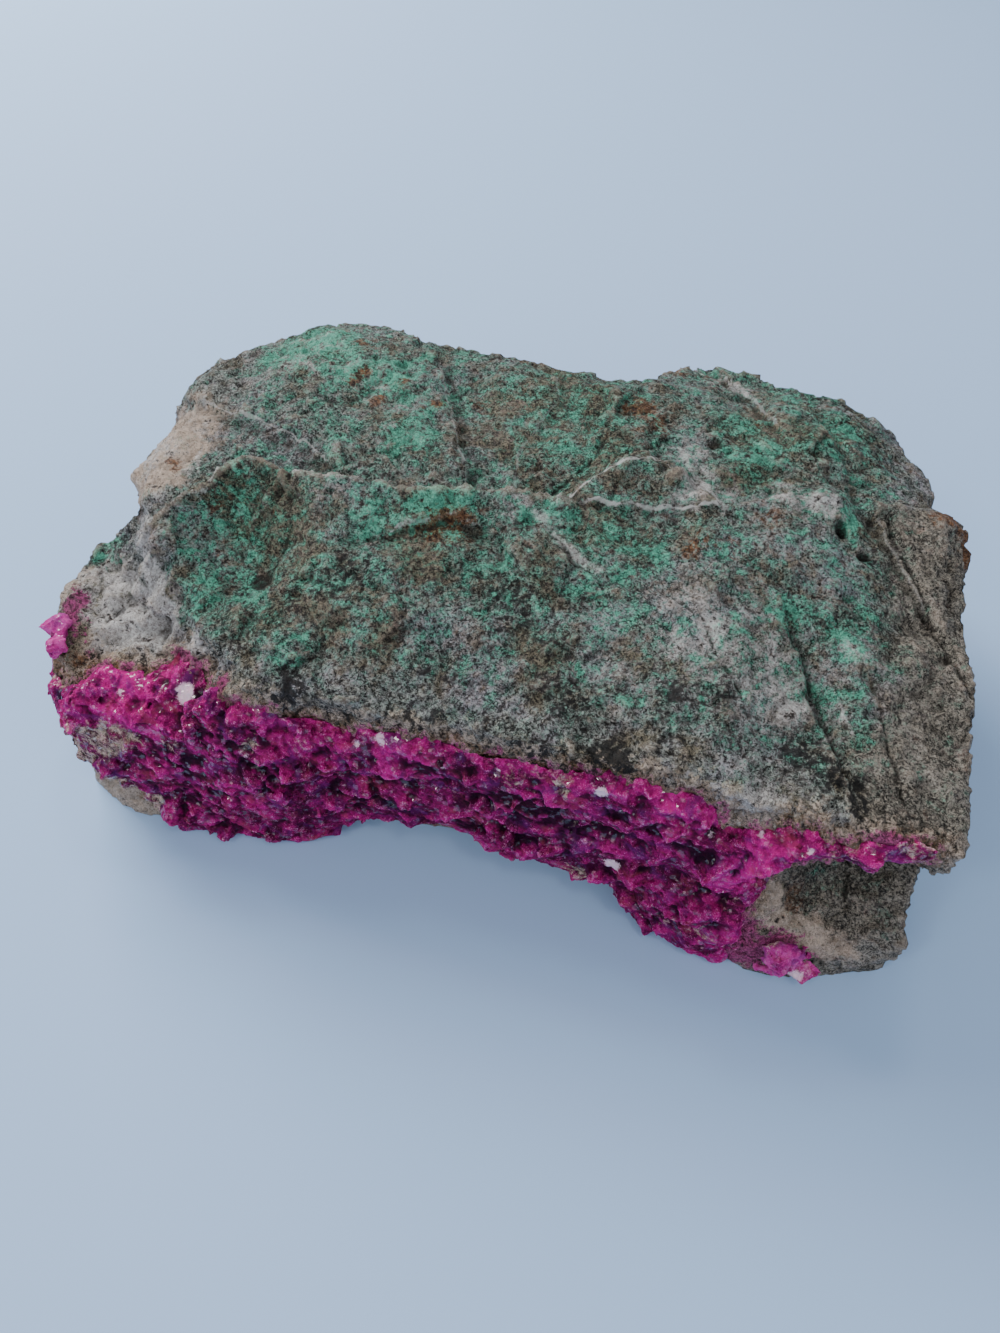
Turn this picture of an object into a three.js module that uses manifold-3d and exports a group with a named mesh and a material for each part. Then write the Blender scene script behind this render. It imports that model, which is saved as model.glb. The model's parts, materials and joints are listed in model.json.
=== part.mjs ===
// A hand specimen of cobaltocalcite: a broken block of host rock with magenta crystals grown on its front face.
// Millimetres, +Z up. X runs along the front, from left to right, and Y runs from front to back.
import * as THREE from "three";
import { ConvexGeometry } from "three/addons/geometries/ConvexGeometry.js";
import { SimplexNoise } from "three/addons/math/SimplexNoise.js";
import { mergeVertices } from "three/addons/utils/BufferGeometryUtils.js";
import Module from "manifold-3d";

const wasm = await Module();
wasm.setup();

// ---- Driving dimensions ----

// The rock is a box of cells, pulled to shape: cells along X, along Y and up Z.
const CELLS_X = 34;
const CELLS_Y = 24;
const CELLS_Z = 10;

const BELOW_CUT = 1.5; // the pulled box reaches this far below the base, and is cut off flat there
const GAP = 0.45; // how far the crystals stand off the rock, so that the meshes stay apart
const FLOOR_CLEARANCE = 0.4; // crystals end this far above the surface the rock stands on
const BEYOND_ALL = 400; // wider than the specimen, for the blocks that cut it

// Rim of the block seen from above: each side from one corner to the next.
const RIM = {
  front: [
    [-57, -29], [-51, -33], [-38, -33.5], [-22, -32.5], [-6, -32], [12, -32.5], [30, -33], [45, -33], [57.8, -32.5],
  ],
  right: [[57.8, -32.5], [57.8, -12], [57, 6], [57, 18], [51.5, 20.5], [53.5, 29], [49, 40]],
  back: [
    [-53, 33], [-46, 38], [-37, 41.5], [-29, 38], [-20, 34], [0, 33],
    [8, 34.5], [12, 42], [17, 48.5], [22, 49.5], [27, 47.5], [33, 45.5], [42, 43], [49, 40],
  ],
  left: [
    [-57, -29], [-59.5, -21], [-59, -14], [-54, -8], [-57.5, -3], [-62, 3], [-60.5, 9], [-59, 15], [-57, 24], [-53, 33],
  ],
};
// Foot of the block, where its walls meet the flat base.
const FOOT = {
  front: [
    [-57.5, -33.5], [-50, -37], [-43, -36.5], [-37, -34], [-24, -32.5], [-18, -27], [3, -25], [22, -27], [32, -33.5], [40, -36],
    [46, -36], [57, -31],
  ],
  right: [[57, -31], [57, -12], [54, 5], [53, 20], [50, 30], [45, 35]],
  back: [[-50, 27], [-36, 34], [-20, 30], [0, 30], [16, 37], [32, 40], [45, 35]],
  left: [[-57.5, -33.5], [-57, -15], [-58, 0], [-55, 15], [-50, 27]],
};

// The ridge between the front tier and the back tier: [x, y] and [x, height].
const RIDGE_LINE = [
  [-47, -14], [-43, -9.5], [-38, -3.5], [-15, -4.3], [2, 0.6], [14, 11], [24, 5], [37, 10], [51, 15.6], [58, 18],
];
const RIDGE_HEIGHT = [[-47, 40], [-43, 42], [-38, 43], [37, 43], [51, 38.5], [58, 36]];
// The front tier's lower edge, above the crystals: [x, height].
const BROW_HEIGHT = [
  [-60, 27], [-44, 29], [-29, 32.5], [-14, 33.2], [-6, 31.8], [3, 33.8], [22, 35.7], [29, 35.5], [36, 33.6],
  [46, 35], [58, 33.5],
];
const BROW_Y = -33;
const RIDGE_STEP = 1.5; // the back tier lies this much lower, just behind the ridge

// The left shoulder: the top edge of the step down to it, as [y, x], and its surface as [y, height].
const SHOULDER_EDGE = [
  [-31.6, -28.6], [-27.5, -34.5], [-22.4, -39], [-18.8, -44.5], [-12, -48.5], [-7, -52], [-3, -57], [0, -70],
];
const SHOULDER_HEIGHT = [[-34, 22], [-29, 26], [-24, 28], [-12, 29.5], [-4, 29.5]];
const SHOULDER_STEP_WIDTH = 4.5;
const SNAP_REACH = 1.7; // half a cell of the rock's mesh

// The edge where the back tier breaks down to the ledges behind it: [x, y], and how far it drops: [x, drop].
const BACK_EDGE = [
  [-56, 29], [-45, 34], [-33, 35.5], [-20, 36], [0, 35.5], [11, 34], [22, 33.5], [36, 30], [46, 24], [53, 18],
];
const BACK_DROP = [[-56, 3], [-45, 4], [-30, 4], [-22, 1.5], [8, 1.5], [14, 2.6], [34, 2.4], [50, 3]];

// Planes that bevel the block's top: a point on each, and its fall per millimetre along [x, y].
const BEVELS = [
  { name: "left side of the back tier", at: [-52, 8, 40], fall: [-0.95, -0.12] },
  { name: "left end of the front tier", at: [-45, -12, 41], fall: [-0.7, -0.3] },
  { name: "back left corner", at: [-48, 28, 39.5], fall: [-0.55, 0.35] },
  { name: "right end of the front tier", at: [44, 0, 39], fall: [0.22, -0.12] },
  { name: "back right shoulder", at: [44, 32, 37.4], fall: [0.55, 0.45] },
  { name: "back right ledge", at: [24, 48, 38.5], fall: [0.05, 0.8] },
  { name: "middle of the back edge", at: [-5, 30, 40.5], fall: [0.02, 0.35] },
];

// Lumps and hollows on the top: centre, radii along X and Y, and height, negative for a hollow.
const RELIEF = [
  { name: "smooth hollow in the front tier", x: -33, y: -15, rx: 15, ry: 12, height: -2.6 },
  { name: "white lump on the right", x: 38.5, y: 11, rx: 6, ry: 6, height: 2 },
  { name: "block at the right corner", x: 53, y: 12, rx: 6, ry: 6, height: 1.5 },
  { name: "raised plate behind the ridge", x: 14, y: 8.5, rx: 11, ry: 4, height: 1.8 },
  { name: "lump on the left shoulder", x: -55, y: -11, rx: 5, ry: 4, height: 1.8 },
  { name: "dip at the back", x: -8, y: 20, rx: 14, ry: 10, height: -1.2 },
  { name: "swelling of the back tier", x: -34, y: 22, rx: 16, ry: 12, height: 1.2 },
  { name: "groove in the front tier", x: 39.5, y: -18, rx: 3, ry: 12, height: -1.3 },
  { name: "notch at the left end of the back tier", x: -57, y: 10, rx: 6, ry: 5, height: -2.2 },
  { name: "swelling beside the groove", x: 30, y: -20, rx: 7, ry: 12, height: 0.8 },
];

// Hollows in the walls: centre, radii, and how deep the wall is pushed in along [x, y].
const WALL_HOLLOWS = [
  { name: "hollow under the right slab", at: [50, -33, 18], radii: [14, 14, 12], push: [-1, 10.5] },
  { name: "hollow in the back wall", at: [-8, 34, 18], radii: [18, 10, 12], push: [0, -4] },
  { name: "hollow in the right wall", at: [58, 2, 14], radii: [8, 14, 11], push: [-3, 0] },
  { name: "hollow in the left wall", at: [-60, 8, 12], radii: [8, 14, 9], push: [3, 0] },
];

// Flat breaks that chop the back and the ends: a point on each, and the direction that it faces.
const CHOPS = [
  { name: "back wall, left half", at: [-37, 38.8, 20], facing: [-0.2, 0.93, -0.25] },
  { name: "back wall, right half", at: [27, 44, 16], facing: [0.25, 0.92, -0.32] },
  { name: "back left edge", at: [-55.5, 27, 18], facing: [-0.8, 0.55, -0.2] },
  { name: "back right edge", at: [51.5, 33, 18], facing: [0.85, 0.45, -0.25] },
  { name: "foot of the left wall", at: [-59.2, 8, 10], facing: [-0.85, 0.15, -0.35] },
  { name: "foot of the right wall", at: [57.6, 4, 8], facing: [0.86, 0.15, -0.5] },
];

// Where the crystals grow on the front wall: the crust's upper and lower edges as [x, z].
const CRUST_TOP = [
  [-62, 24], [-55, 25.5], [-46, 25.5], [-40, 26], [-36, 28.5], [-31, 30.8], [-27, 31.5], [-24, 30],
  [-20, 28], [-16, 27.4], [-12, 28.3], [-7, 30.3], [-1, 29.8], [4, 29.6], [9, 30.6], [14, 31.3], [18, 32.4],
  [23, 33], [29, 33.8], [31.5, 31], [33, 28], [35.5, 30], [39, 32.6], [46, 33], [50, 33.2], [58, 32],
];
const CRUST_BOTTOM = [
  [-62, 17], [-59, 15.5], [-57, 11.5], [-53, 9.5], [-50, 8], [-46, 6], [-43.5, 4], [-41, -2], [-22, -2],
  [-17, 4], [-3, 5.5],
  [10, 3], [20, 4], [26, -2], [38, -2], [40.5, 27.5], [50, 29], [58, 30],
];
const CRUST_BACK = -16; // the crust wraps round the left end as far as this Y
const FLATTEST = 0.85; // nothing grows where the wall's normal rises more steeply than this
const BED_THICKNESS = [[36, 2.6], [42, 1.6]]; // [x, thickness]: thinner along the seam at the right
// The dark gap that runs through the crust under its upper lip: [x, z], and its half width.
const CREVICE = [[-20, 17], [-2, 21], [14, 22], [28, 18], [40, 14]];
const CREVICE_HALF_WIDTH = 3.2;

const CRYSTAL_SPACING = 4.5;
const CRYSTAL_RADIUS = [2.8, 4.2];
const CRYSTAL_SUNK = 0.6; // how deep a crystal's middle sits under the bed's surface, in radii
// The two small patches apart from the crust: a point on the wall, and how far the crystals reach round it.
const LEFT_END_PATCH = { at: [-55.5, -26.5, 27], reach: 4, seed: 5 };
const FOOT_PATCH = { at: [46, -35.5, 4.5], reach: 5.5, seed: 9 };
const PATCH_MARGIN = 3; // bare rock between a patch and the crust
const PATCH_SPACING = 2.6;
const PATCH_SCATTER = 2.4;
const PATCH_RADIUS = [1.8, 2.6];
const PATCH_SUNK = 0.3;

const ROCK_COLOUR = 0x8c9088;
const CRUST_COLOUR = 0xa8187c;
const PATCH_COLOUR = 0xc9509f;

// ---- Helpers ----

// A repeatable source of random numbers between 0 and 1.
function seededRandom(seed) {
  let state = seed;
  return () => {
    state = (state + 0x6d2b79f5) | 0;
    let t = Math.imul(state ^ (state >>> 15), 1 | state);
    t = (t + Math.imul(t ^ (t >>> 7), 61 | t)) ^ t;
    return ((t ^ (t >>> 14)) >>> 0) / 4294967296;
  };
}

const simplex = new SimplexNoise({ random: seededRandom(7) });

// Noise in three octaves, about -1 to 1, for features of the given size in millimetres.
function unevenness(p, size) {
  let sum = 0;
  let weight = 1;
  let scale = 1 / size;
  for (let octave = 0; octave < 3; octave++) {
    sum += weight * simplex.noise3d(p.x * scale, p.y * scale, p.z * scale);
    weight *= 0.5;
    scale *= 2;
  }
  return sum / 1.75;
}

// The value at x of a profile given as [x, value] pairs with x rising.
function profile(pairs, x) {
  const last = pairs.length - 1;
  if (x <= pairs[0][0]) return pairs[0][1];
  if (x >= pairs[last][0]) return pairs[last][1];
  const i = pairs.findIndex((pair) => pair[0] > x);
  const [x0, v0] = pairs[i - 1];
  const [x1, v1] = pairs[i];
  return v0 + ((v1 - v0) * (x - x0)) / (x1 - x0);
}

// 1 at the centre of a mound, falling smoothly to 0 at distance 1.
function mound(distance) {
  return distance >= 1 ? 0 : (1 - distance * distance) ** 2;
}

// A closed mesh as a manifold solid, and back.
function solidFrom(geometry) {
  const bare = geometry.clone();
  bare.deleteAttribute("normal");
  bare.deleteAttribute("uv");
  const merged = mergeVertices(bare, 1e-4);
  const vertProperties = new Float32Array(merged.attributes.position.array);
  const triVerts = new Uint32Array(merged.index.array);
  return new wasm.Manifold(new wasm.Mesh({ numProp: 3, vertProperties, triVerts }));
}

function geometryFrom(solid) {
  const mesh = solid.getMesh();
  const geometry = new THREE.BufferGeometry();
  geometry.setAttribute("position", new THREE.BufferAttribute(mesh.vertProperties, 3));
  geometry.setIndex(new THREE.BufferAttribute(mesh.triVerts, 1));
  geometry.computeVertexNormals();
  return geometry;
}

// The largest of a solid's separate bodies.
function largestBody(solid) {
  const bodies = solid.decompose();
  return bodies.reduce((a, b) => (b.volume() > a.volume() ? b : a));
}

// A solid with everything beyond the plane through a point, on the side that it faces, cut away.
function chop(solid, at, facing) {
  const waste = new THREE.BoxGeometry(BEYOND_ALL, BEYOND_ALL, BEYOND_ALL);
  waste.translate(0, 0, BEYOND_ALL / 2);
  const direction = new THREE.Vector3(...facing).normalize();
  waste.applyQuaternion(new THREE.Quaternion().setFromUnitVectors(new THREE.Vector3(0, 0, 1), direction));
  waste.translate(...at);
  return solid.subtract(solidFrom(waste));
}

// The part of a solid that lies above the given height.
function keepAbove(solid, height) {
  return chop(solid, [0, 0, height], [0, 0, -1]);
}

// ---- The rock's form ----

function sideCurves(outline) {
  const curves = {};
  for (const side of Object.keys(outline)) {
    const corners = outline[side].map(([x, y]) => new THREE.Vector2(x, y));
    curves[side] = new THREE.Path(corners);
  }
  return curves;
}

const rimCurves = sideCurves(RIM);
const footCurves = sideCurves(FOOT);

// A point of the area inside four side curves, for u from left to right and v from front to back, each 0 to 1.
function insideOutline(curves, u, v) {
  const front = curves.front.getPoint(u);
  const back = curves.back.getPoint(u);
  const left = curves.left.getPoint(v);
  const right = curves.right.getPoint(v);
  const across = front.multiplyScalar(1 - v).addScaledVector(back, v);
  const along = left.multiplyScalar(1 - u).addScaledVector(right, u);
  const corners = curves.front.getPoint(0).multiplyScalar((1 - u) * (1 - v));
  corners.addScaledVector(curves.front.getPoint(1), u * (1 - v));
  corners.addScaledVector(curves.back.getPoint(0), (1 - u) * v);
  corners.addScaledVector(curves.back.getPoint(1), u * v);
  return across.add(along).sub(corners);
}

// Height of the rock's top above the base.
function topHeight(x, y) {
  const ridgeY = profile(RIDGE_LINE, x);
  const ridge = profile(RIDGE_HEIGHT, x);
  const brow = profile(BROW_HEIGHT, x);
  let height;
  if (y <= ridgeY) {
    const rise = THREE.MathUtils.clamp((y - BROW_Y) / (ridgeY - BROW_Y), 0, 1);
    height = brow + (ridge - brow) * rise;
  } else {
    height = ridge - RIDGE_STEP * Math.min(1, (y - ridgeY) / 1.5);
  }
  const pastBackEdge = y - profile(BACK_EDGE, x);
  height -= profile(BACK_DROP, x) * THREE.MathUtils.smoothstep(pastBackEdge, 0, 3);
  for (const bevel of BEVELS) {
    const [bx, by, bz] = bevel.at;
    const plane = bz - (x - bx) * bevel.fall[0] - (y - by) * bevel.fall[1];
    height = Math.min(height, plane);
  }
  const shoulderEdge = profile(SHOULDER_EDGE, y);
  const onShoulder = THREE.MathUtils.smoothstep(shoulderEdge - x, 0, SHOULDER_STEP_WIDTH);
  height += (Math.min(height, profile(SHOULDER_HEIGHT, y)) - height) * onShoulder;
  for (const lump of RELIEF) {
    height += lump.height * mound(Math.hypot((x - lump.x) / lump.rx, (y - lump.y) / lump.ry));
  }
  return height;
}

// Vertices close to the ridge, or to the step beside the shoulder, are moved onto it, so that it stays sharp.
function snapToEdges(point) {
  const ridgeY = profile(RIDGE_LINE, point.x);
  if (point.x > RIDGE_LINE[0][0] && Math.abs(point.y - ridgeY) < SNAP_REACH) point.y = ridgeY;
  const stepTop = profile(SHOULDER_EDGE, point.y);
  for (const edge of [stepTop, stepTop - SHOULDER_STEP_WIDTH]) {
    if (Math.abs(point.x - edge) < SNAP_REACH) point.x = edge;
  }
}

// The rock as a box of cells pulled to shape. The function given says how far to move each vertex outwards.
function rockGeometry(swelling) {
  const box = new THREE.BoxGeometry(1, 1, 1, CELLS_X, CELLS_Y, CELLS_Z);
  box.deleteAttribute("normal");
  box.deleteAttribute("uv");
  const rock = mergeVertices(box, 1e-5);
  const position = rock.attributes.position;
  const p = new THREE.Vector3();
  for (let i = 0; i < position.count; i++) {
    p.fromBufferAttribute(position, i);
    const u = p.x + 0.5;
    const v = p.y + 0.5;
    const rise = p.z + 0.5;
    const rim = insideOutline(rimCurves, u, v);
    const foot = insideOutline(footCurves, u, v);
    const inTop = u > 0.001 && u < 0.999 && v > 0.001 && v < 0.999;
    if (inTop) snapToEdges(rim);
    const lean = rise ** 0.7;
    const height = topHeight(rim.x, rim.y);
    p.x = foot.x + (rim.x - foot.x) * lean;
    p.y = foot.y + (rim.y - foot.y) * lean;
    p.z = (height + BELOW_CUT) * rise - BELOW_CUT;
    for (const hollow of WALL_HOLLOWS) {
      const away = new THREE.Vector3(...hollow.at).sub(p).divide(new THREE.Vector3(...hollow.radii));
      const depth = mound(away.length());
      p.x += hollow.push[0] * depth;
      p.y += hollow.push[1] * depth;
    }
    position.setXYZ(i, p.x, p.y, p.z);
  }
  roughen(rock);
  swell(rock, swelling);
  return rock;
}

// Breaks up the smooth faces: broad chips and small lumps, along each vertex's own normal.
function roughen(geometry) {
  swell(geometry, (p, normal) => {
    const sideways = 1 - Math.abs(normal.z);
    const aboveBase = THREE.MathUtils.clamp(p.z / 4, 0, 1);
    return aboveBase * (1.5 * sideways * unevenness(p, 22) + 0.75 * unevenness(p, 7));
  });
}

// Moves each vertex outwards by the distance that the function gives for its place and normal.
function swell(geometry, distance) {
  geometry.computeVertexNormals();
  const position = geometry.attributes.position;
  const normals = geometry.attributes.normal;
  const p = new THREE.Vector3();
  const normal = new THREE.Vector3();
  for (let i = 0; i < position.count; i++) {
    p.fromBufferAttribute(position, i);
    normal.fromBufferAttribute(normals, i);
    p.addScaledVector(normal, distance(p, normal));
    position.setXYZ(i, p.x, p.y, p.z);
  }
  geometry.deleteAttribute("normal");
}

// ---- The crystals ----

// How far a place on the front wall lies inside the crust, in millimetres; negative outside.
function insideCrust(p) {
  const margins = [profile(CRUST_TOP, p.x) - p.z, p.z - profile(CRUST_BOTTOM, p.x), CRUST_BACK - p.y];
  for (const patch of [LEFT_END_PATCH, FOOT_PATCH]) {
    margins.push(p.distanceTo(new THREE.Vector3(...patch.at)) - patch.reach - PATCH_MARGIN);
  }
  return Math.min(...margins);
}

// 1 in the middle of the crevice, 0 outside it.
function inCrevice(p) {
  if (p.x < CREVICE[0][0] || p.x > CREVICE[CREVICE.length - 1][0]) return 0;
  return mound(Math.abs(p.z - profile(CREVICE, p.x)) / CREVICE_HALF_WIDTH);
}

// Thickness of the bed of grown-together crystals on the rock; negative where none grows.
function bedThickness(p, normal) {
  const inside = insideCrust(p);
  if (inside < -1 || normal.z > FLATTEST || normal.x > 0.7) return -1.5;
  const thickness = profile(BED_THICKNESS, p.x) * Math.min(1, 0.5 + inside / 3);
  return thickness * (1 - 0.6 * inCrevice(p));
}

// A rhombohedron with six flat faces: its long axis is Z before it is turned.
function crystalGeometry(radius, halfLength) {
  const corners = [new THREE.Vector3(0, 0, halfLength), new THREE.Vector3(0, 0, -halfLength)];
  for (let k = 0; k < 6; k++) {
    const angle = (k * Math.PI) / 3;
    const z = (k % 2 ? -1 : 1) * (halfLength / 3);
    corners.push(new THREE.Vector3(radius * Math.cos(angle), radius * Math.sin(angle), z));
  }
  return new ConvexGeometry(corners);
}

// One crystal, leaning out of the wall along the given direction.
function crystalSolid(centre, outward, radius, random) {
  const geometry = crystalGeometry(radius, radius * (0.9 + 0.5 * random()));
  const axis = outward.clone();
  axis.x += 1.1 * (random() - 0.5);
  axis.y += 0.6 * (random() - 0.5);
  axis.z += 1.1 * (random() - 0.5);
  axis.normalize();
  geometry.rotateZ(2 * Math.PI * random());
  geometry.applyQuaternion(new THREE.Quaternion().setFromUnitVectors(new THREE.Vector3(0, 0, 1), axis));
  geometry.translate(centre.x, centre.y, centre.z);
  return solidFrom(geometry);
}

// Places over the front wall and round the left end, about one spacing apart, each with its outward direction.
function wallPlaces(rock, spacing, random) {
  const places = [];
  rock.computeVertexNormals();
  const position = rock.attributes.position;
  const normals = rock.attributes.normal;
  const order = Array.from({ length: position.count }, (_, i) => i);
  for (let i = order.length - 1; i > 0; i--) {
    const j = Math.floor(random() * (i + 1));
    [order[i], order[j]] = [order[j], order[i]];
  }
  for (const i of order) {
    const at = new THREE.Vector3().fromBufferAttribute(position, i);
    const outward = new THREE.Vector3().fromBufferAttribute(normals, i);
    if (outward.y > 0.5 || outward.z > FLATTEST) continue;
    if (places.every((place) => place.at.distanceTo(at) > spacing)) places.push({ at, outward });
  }
  return places;
}

function makeCrust(rock, rockAndGap) {
  const random = seededRandom(21);
  const bed = solidFrom(rockGeometry(bedThickness));
  const crystals = [];
  const [small, large] = CRYSTAL_RADIUS;
  for (const { at, outward } of wallPlaces(rock, CRYSTAL_SPACING, random)) {
    const inside = insideCrust(at);
    if (inside < 0.8) continue;
    const fit = Math.min(1, 0.55 + inside / 8) * (1 - 0.35 * inCrevice(at));
    const radius = (small + (large - small) * random() ** 1.5) * fit;
    const centre = at.clone().addScaledVector(outward, bedThickness(at, outward) - CRYSTAL_SUNK * radius);
    crystals.push(crystalSolid(centre, outward, radius, random));
  }
  const grown = wasm.Manifold.union([bed, ...crystals]);
  return largestBody(keepAbove(grown, FLOOR_CLEARANCE).subtract(rockAndGap));
}

// A small patch of crystals of its own, round one place on the rock.
function makePatch(rock, rockAndGap, patch) {
  const random = seededRandom(patch.seed);
  const middle = new THREE.Vector3(...patch.at);
  const crystals = [];
  const [small, large] = PATCH_RADIUS;
  for (const { at, outward } of wallPlaces(rock, PATCH_SPACING, random)) {
    if (at.distanceTo(middle) > patch.reach) continue;
    for (let i = 0; i < 2; i++) {
      const radius = small + (large - small) * random();
      const centre = at.clone().addScaledVector(outward, -PATCH_SUNK * radius);
      centre.x += PATCH_SCATTER * (random() - 0.5);
      centre.z += PATCH_SCATTER * (random() - 0.5);
      crystals.push(crystalSolid(centre, outward, radius, random));
    }
  }
  const grown = wasm.Manifold.union(crystals);
  return largestBody(keepAbove(grown, FLOOR_CLEARANCE).subtract(rockAndGap));
}

// ---- Assembly ----

function makeMesh(name, solid, color, roughness) {
  const material = new THREE.MeshStandardMaterial({ color, roughness, metalness: 0 });
  material.flatShading = true;
  const mesh = new THREE.Mesh(geometryFrom(solid), material);
  mesh.name = name;
  return mesh;
}

const rock = rockGeometry(() => 0);
const standingRock = keepAbove(solidFrom(rock), 0);
const rockSolid = CHOPS.reduce((solid, { at, facing }) => chop(solid, at, facing), standingRock);
const rockAndGap = solidFrom(rockGeometry(() => GAP));

const group = new THREE.Group();
const crust = makeCrust(rock, rockAndGap);
const leftEndPatch = makePatch(rock, rockAndGap, LEFT_END_PATCH);
const footPatch = makePatch(rock, rockAndGap, FOOT_PATCH);
group.add(makeMesh("matrix_rock", rockSolid, ROCK_COLOUR, 0.9));
group.add(makeMesh("crystal_crust", crust, CRUST_COLOUR, 0.25));
group.add(makeMesh("left_end_crystals", leftEndPatch, PATCH_COLOUR, 0.25));
group.add(makeMesh("foot_crystals", footPatch, PATCH_COLOUR, 0.25));

// The specimen stands with the middle of its base at the origin.
const box = new THREE.Box3().setFromObject(group);
const middle = box.getCenter(new THREE.Vector3());
group.position.set(-middle.x, -middle.y, -box.min.z);

export default group;
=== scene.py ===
# %% [markdown]
# # A specimen of magenta cobalt-bearing calcite on its host rock
#
# The object is a broken block of rock, about 12 cm wide, with a crust of
# magenta crystals grown along its front wall. Lengths are in millimetres of the
# part's own drawing, except where a comment says metres.

# %% Load the fixed frame
import json
import math
import random

import bmesh
import bpy
import numpy as np
from mathutils import Matrix, Vector, noise
from mathutils.bvhtree import BVHTree
from mathutils.kdtree import KDTree

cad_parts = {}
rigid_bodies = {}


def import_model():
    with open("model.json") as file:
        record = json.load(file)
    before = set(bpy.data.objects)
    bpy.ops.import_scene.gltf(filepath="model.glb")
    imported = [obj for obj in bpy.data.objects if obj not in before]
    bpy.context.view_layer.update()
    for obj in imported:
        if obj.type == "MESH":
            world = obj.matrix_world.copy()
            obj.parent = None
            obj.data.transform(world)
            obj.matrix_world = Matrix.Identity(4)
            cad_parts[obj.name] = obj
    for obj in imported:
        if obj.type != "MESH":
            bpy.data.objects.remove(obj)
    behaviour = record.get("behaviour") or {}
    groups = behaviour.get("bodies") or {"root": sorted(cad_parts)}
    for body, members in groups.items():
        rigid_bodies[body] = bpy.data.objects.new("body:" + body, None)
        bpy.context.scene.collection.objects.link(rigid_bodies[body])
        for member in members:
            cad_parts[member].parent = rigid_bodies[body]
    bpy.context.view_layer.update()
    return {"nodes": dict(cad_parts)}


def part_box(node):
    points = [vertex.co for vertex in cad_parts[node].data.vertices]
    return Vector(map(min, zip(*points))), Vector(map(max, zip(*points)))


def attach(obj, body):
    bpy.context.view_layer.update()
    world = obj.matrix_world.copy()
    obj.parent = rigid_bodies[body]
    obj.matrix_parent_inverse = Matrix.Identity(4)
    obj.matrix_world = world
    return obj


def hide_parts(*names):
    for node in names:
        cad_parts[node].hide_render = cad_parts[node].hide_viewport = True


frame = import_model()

MM = 0.001
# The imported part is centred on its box, and this is where the drawing's own zero went.
DRAWING_ZERO = Vector((2.0542240, -4.6789017, 0.0))
ZERO_ROW = np.array(DRAWING_ZERO)
SAME_PLACE = 1e-7  # points closer than this, in metres, are one point


def at(x, y, z):
    """A place of the drawing, in millimetres, as a place of the frame, in metres."""
    return (Vector((x, y, z)) + DRAWING_ZERO) * MM


def new_object(name, data):
    """A new object in the scene."""
    made = bpy.data.objects.new(name, data)
    bpy.context.scene.collection.objects.link(made)
    return made


# %% [markdown]
# ## Camera, light and floor
#
# The block is seen from above its front, a little from the right, with the
# short lens of a pocket camera held close. A large lamp stands for a window
# behind the block on the left, so the broken top is bright, and the crust is
# lit softly by the floor and the room.

# %% Camera
CAMERA_PLACE = (24.5, -97.0, 127.0)
CAMERA_PITCH = 50.0
CAMERA_YAW = 16.0
LENS = 27.06
SENSOR = 36.0

lens = bpy.data.cameras.new("camera")
lens.lens = LENS
lens.sensor_width = SENSOR
lens.sensor_fit = "AUTO"
lens.clip_start = 0.005
camera = new_object("camera", lens)
camera.location = at(*CAMERA_PLACE)
camera.rotation_euler = (math.radians(90 - CAMERA_PITCH), 0, math.radians(CAMERA_YAW))
bpy.context.scene.camera = camera
print("camera at", [round(c, 4) for c in camera.location])


# %% Lights
LIGHT_AIM = Vector((0, 0, 0.02))
# name, place in metres, power in watts, width in metres, colour
LAMPS = [
    ("window", (-0.55, 0.38, 0.46), 8.5, 0.5, (1.0, 0.99, 0.97)),
    ("room", (0.5, -0.45, 0.55), 1.8, 0.8, (0.93, 0.96, 1.0)),
    ("front fill", (-0.3, -0.7, 0.3), 1.6, 0.5, (0.95, 0.97, 1.0)),
]
# Small lamps that only add glints: their places, then power, width and colour
GLINT_PLACES = ((-0.35, 0.1, 0.6), (0.25, -0.25, 0.7), (0.0, 0.25, 0.7), (-0.25, -0.4, 0.5))
GLINT = (0.45, 0.09, (1.0, 0.96, 0.9))
ROOM_COLOUR = (0.80, 0.86, 0.95, 1)
ROOM_STRENGTH = 0.42

for k, place in enumerate(GLINT_PLACES):
    LAMPS.append((f"glint {k + 1}", place, *GLINT))
for name, place, power, width, tint in LAMPS:
    light = bpy.data.lights.new(name, "AREA")
    light.energy = power
    light.size = width
    light.color = tint
    lamp = new_object(name, light)
    lamp.location = place
    lamp.rotation_euler = (LIGHT_AIM - Vector(place)).to_track_quat("-Z", "Y").to_euler()
print(len(LAMPS), "lamps")

world = bpy.data.worlds.new("pale room")
world.use_nodes = True
background = world.node_tree.nodes["Background"]
background.inputs["Color"].default_value = ROOM_COLOUR
background.inputs["Strength"].default_value = ROOM_STRENGTH
bpy.context.scene.world = world

# %% [markdown]
# ## Shader maths as plain expressions
#
# A finish is built from masks that are added and multiplied. `Value` wraps one
# socket, so that `1 - mask` adds the Math node that it needs. Every other node
# comes from `Finish.node`.


# %% One class for sockets, one for finishes
class Value:
    """The output of a node, with the sums that a finish needs."""

    def __init__(self, finish, out):
        self.finish, self.out = finish, out

    def maths(self, operation, first, second):
        settings = {"operation": operation}
        return self.finish.node("Math", settings, {0: first, 1: second})

    def __add__(self, other):
        return self.maths("ADD", self, other)

    def __sub__(self, other):
        return self.maths("SUBTRACT", self, other)

    def __rsub__(self, other):
        return self.maths("SUBTRACT", other, self)

    def __mul__(self, other):
        return self.maths("MULTIPLY", self, other)

    def __abs__(self):
        return self.maths("ABSOLUTE", self, 0.0)

    __radd__ = __add__
    __rmul__ = __mul__


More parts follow.
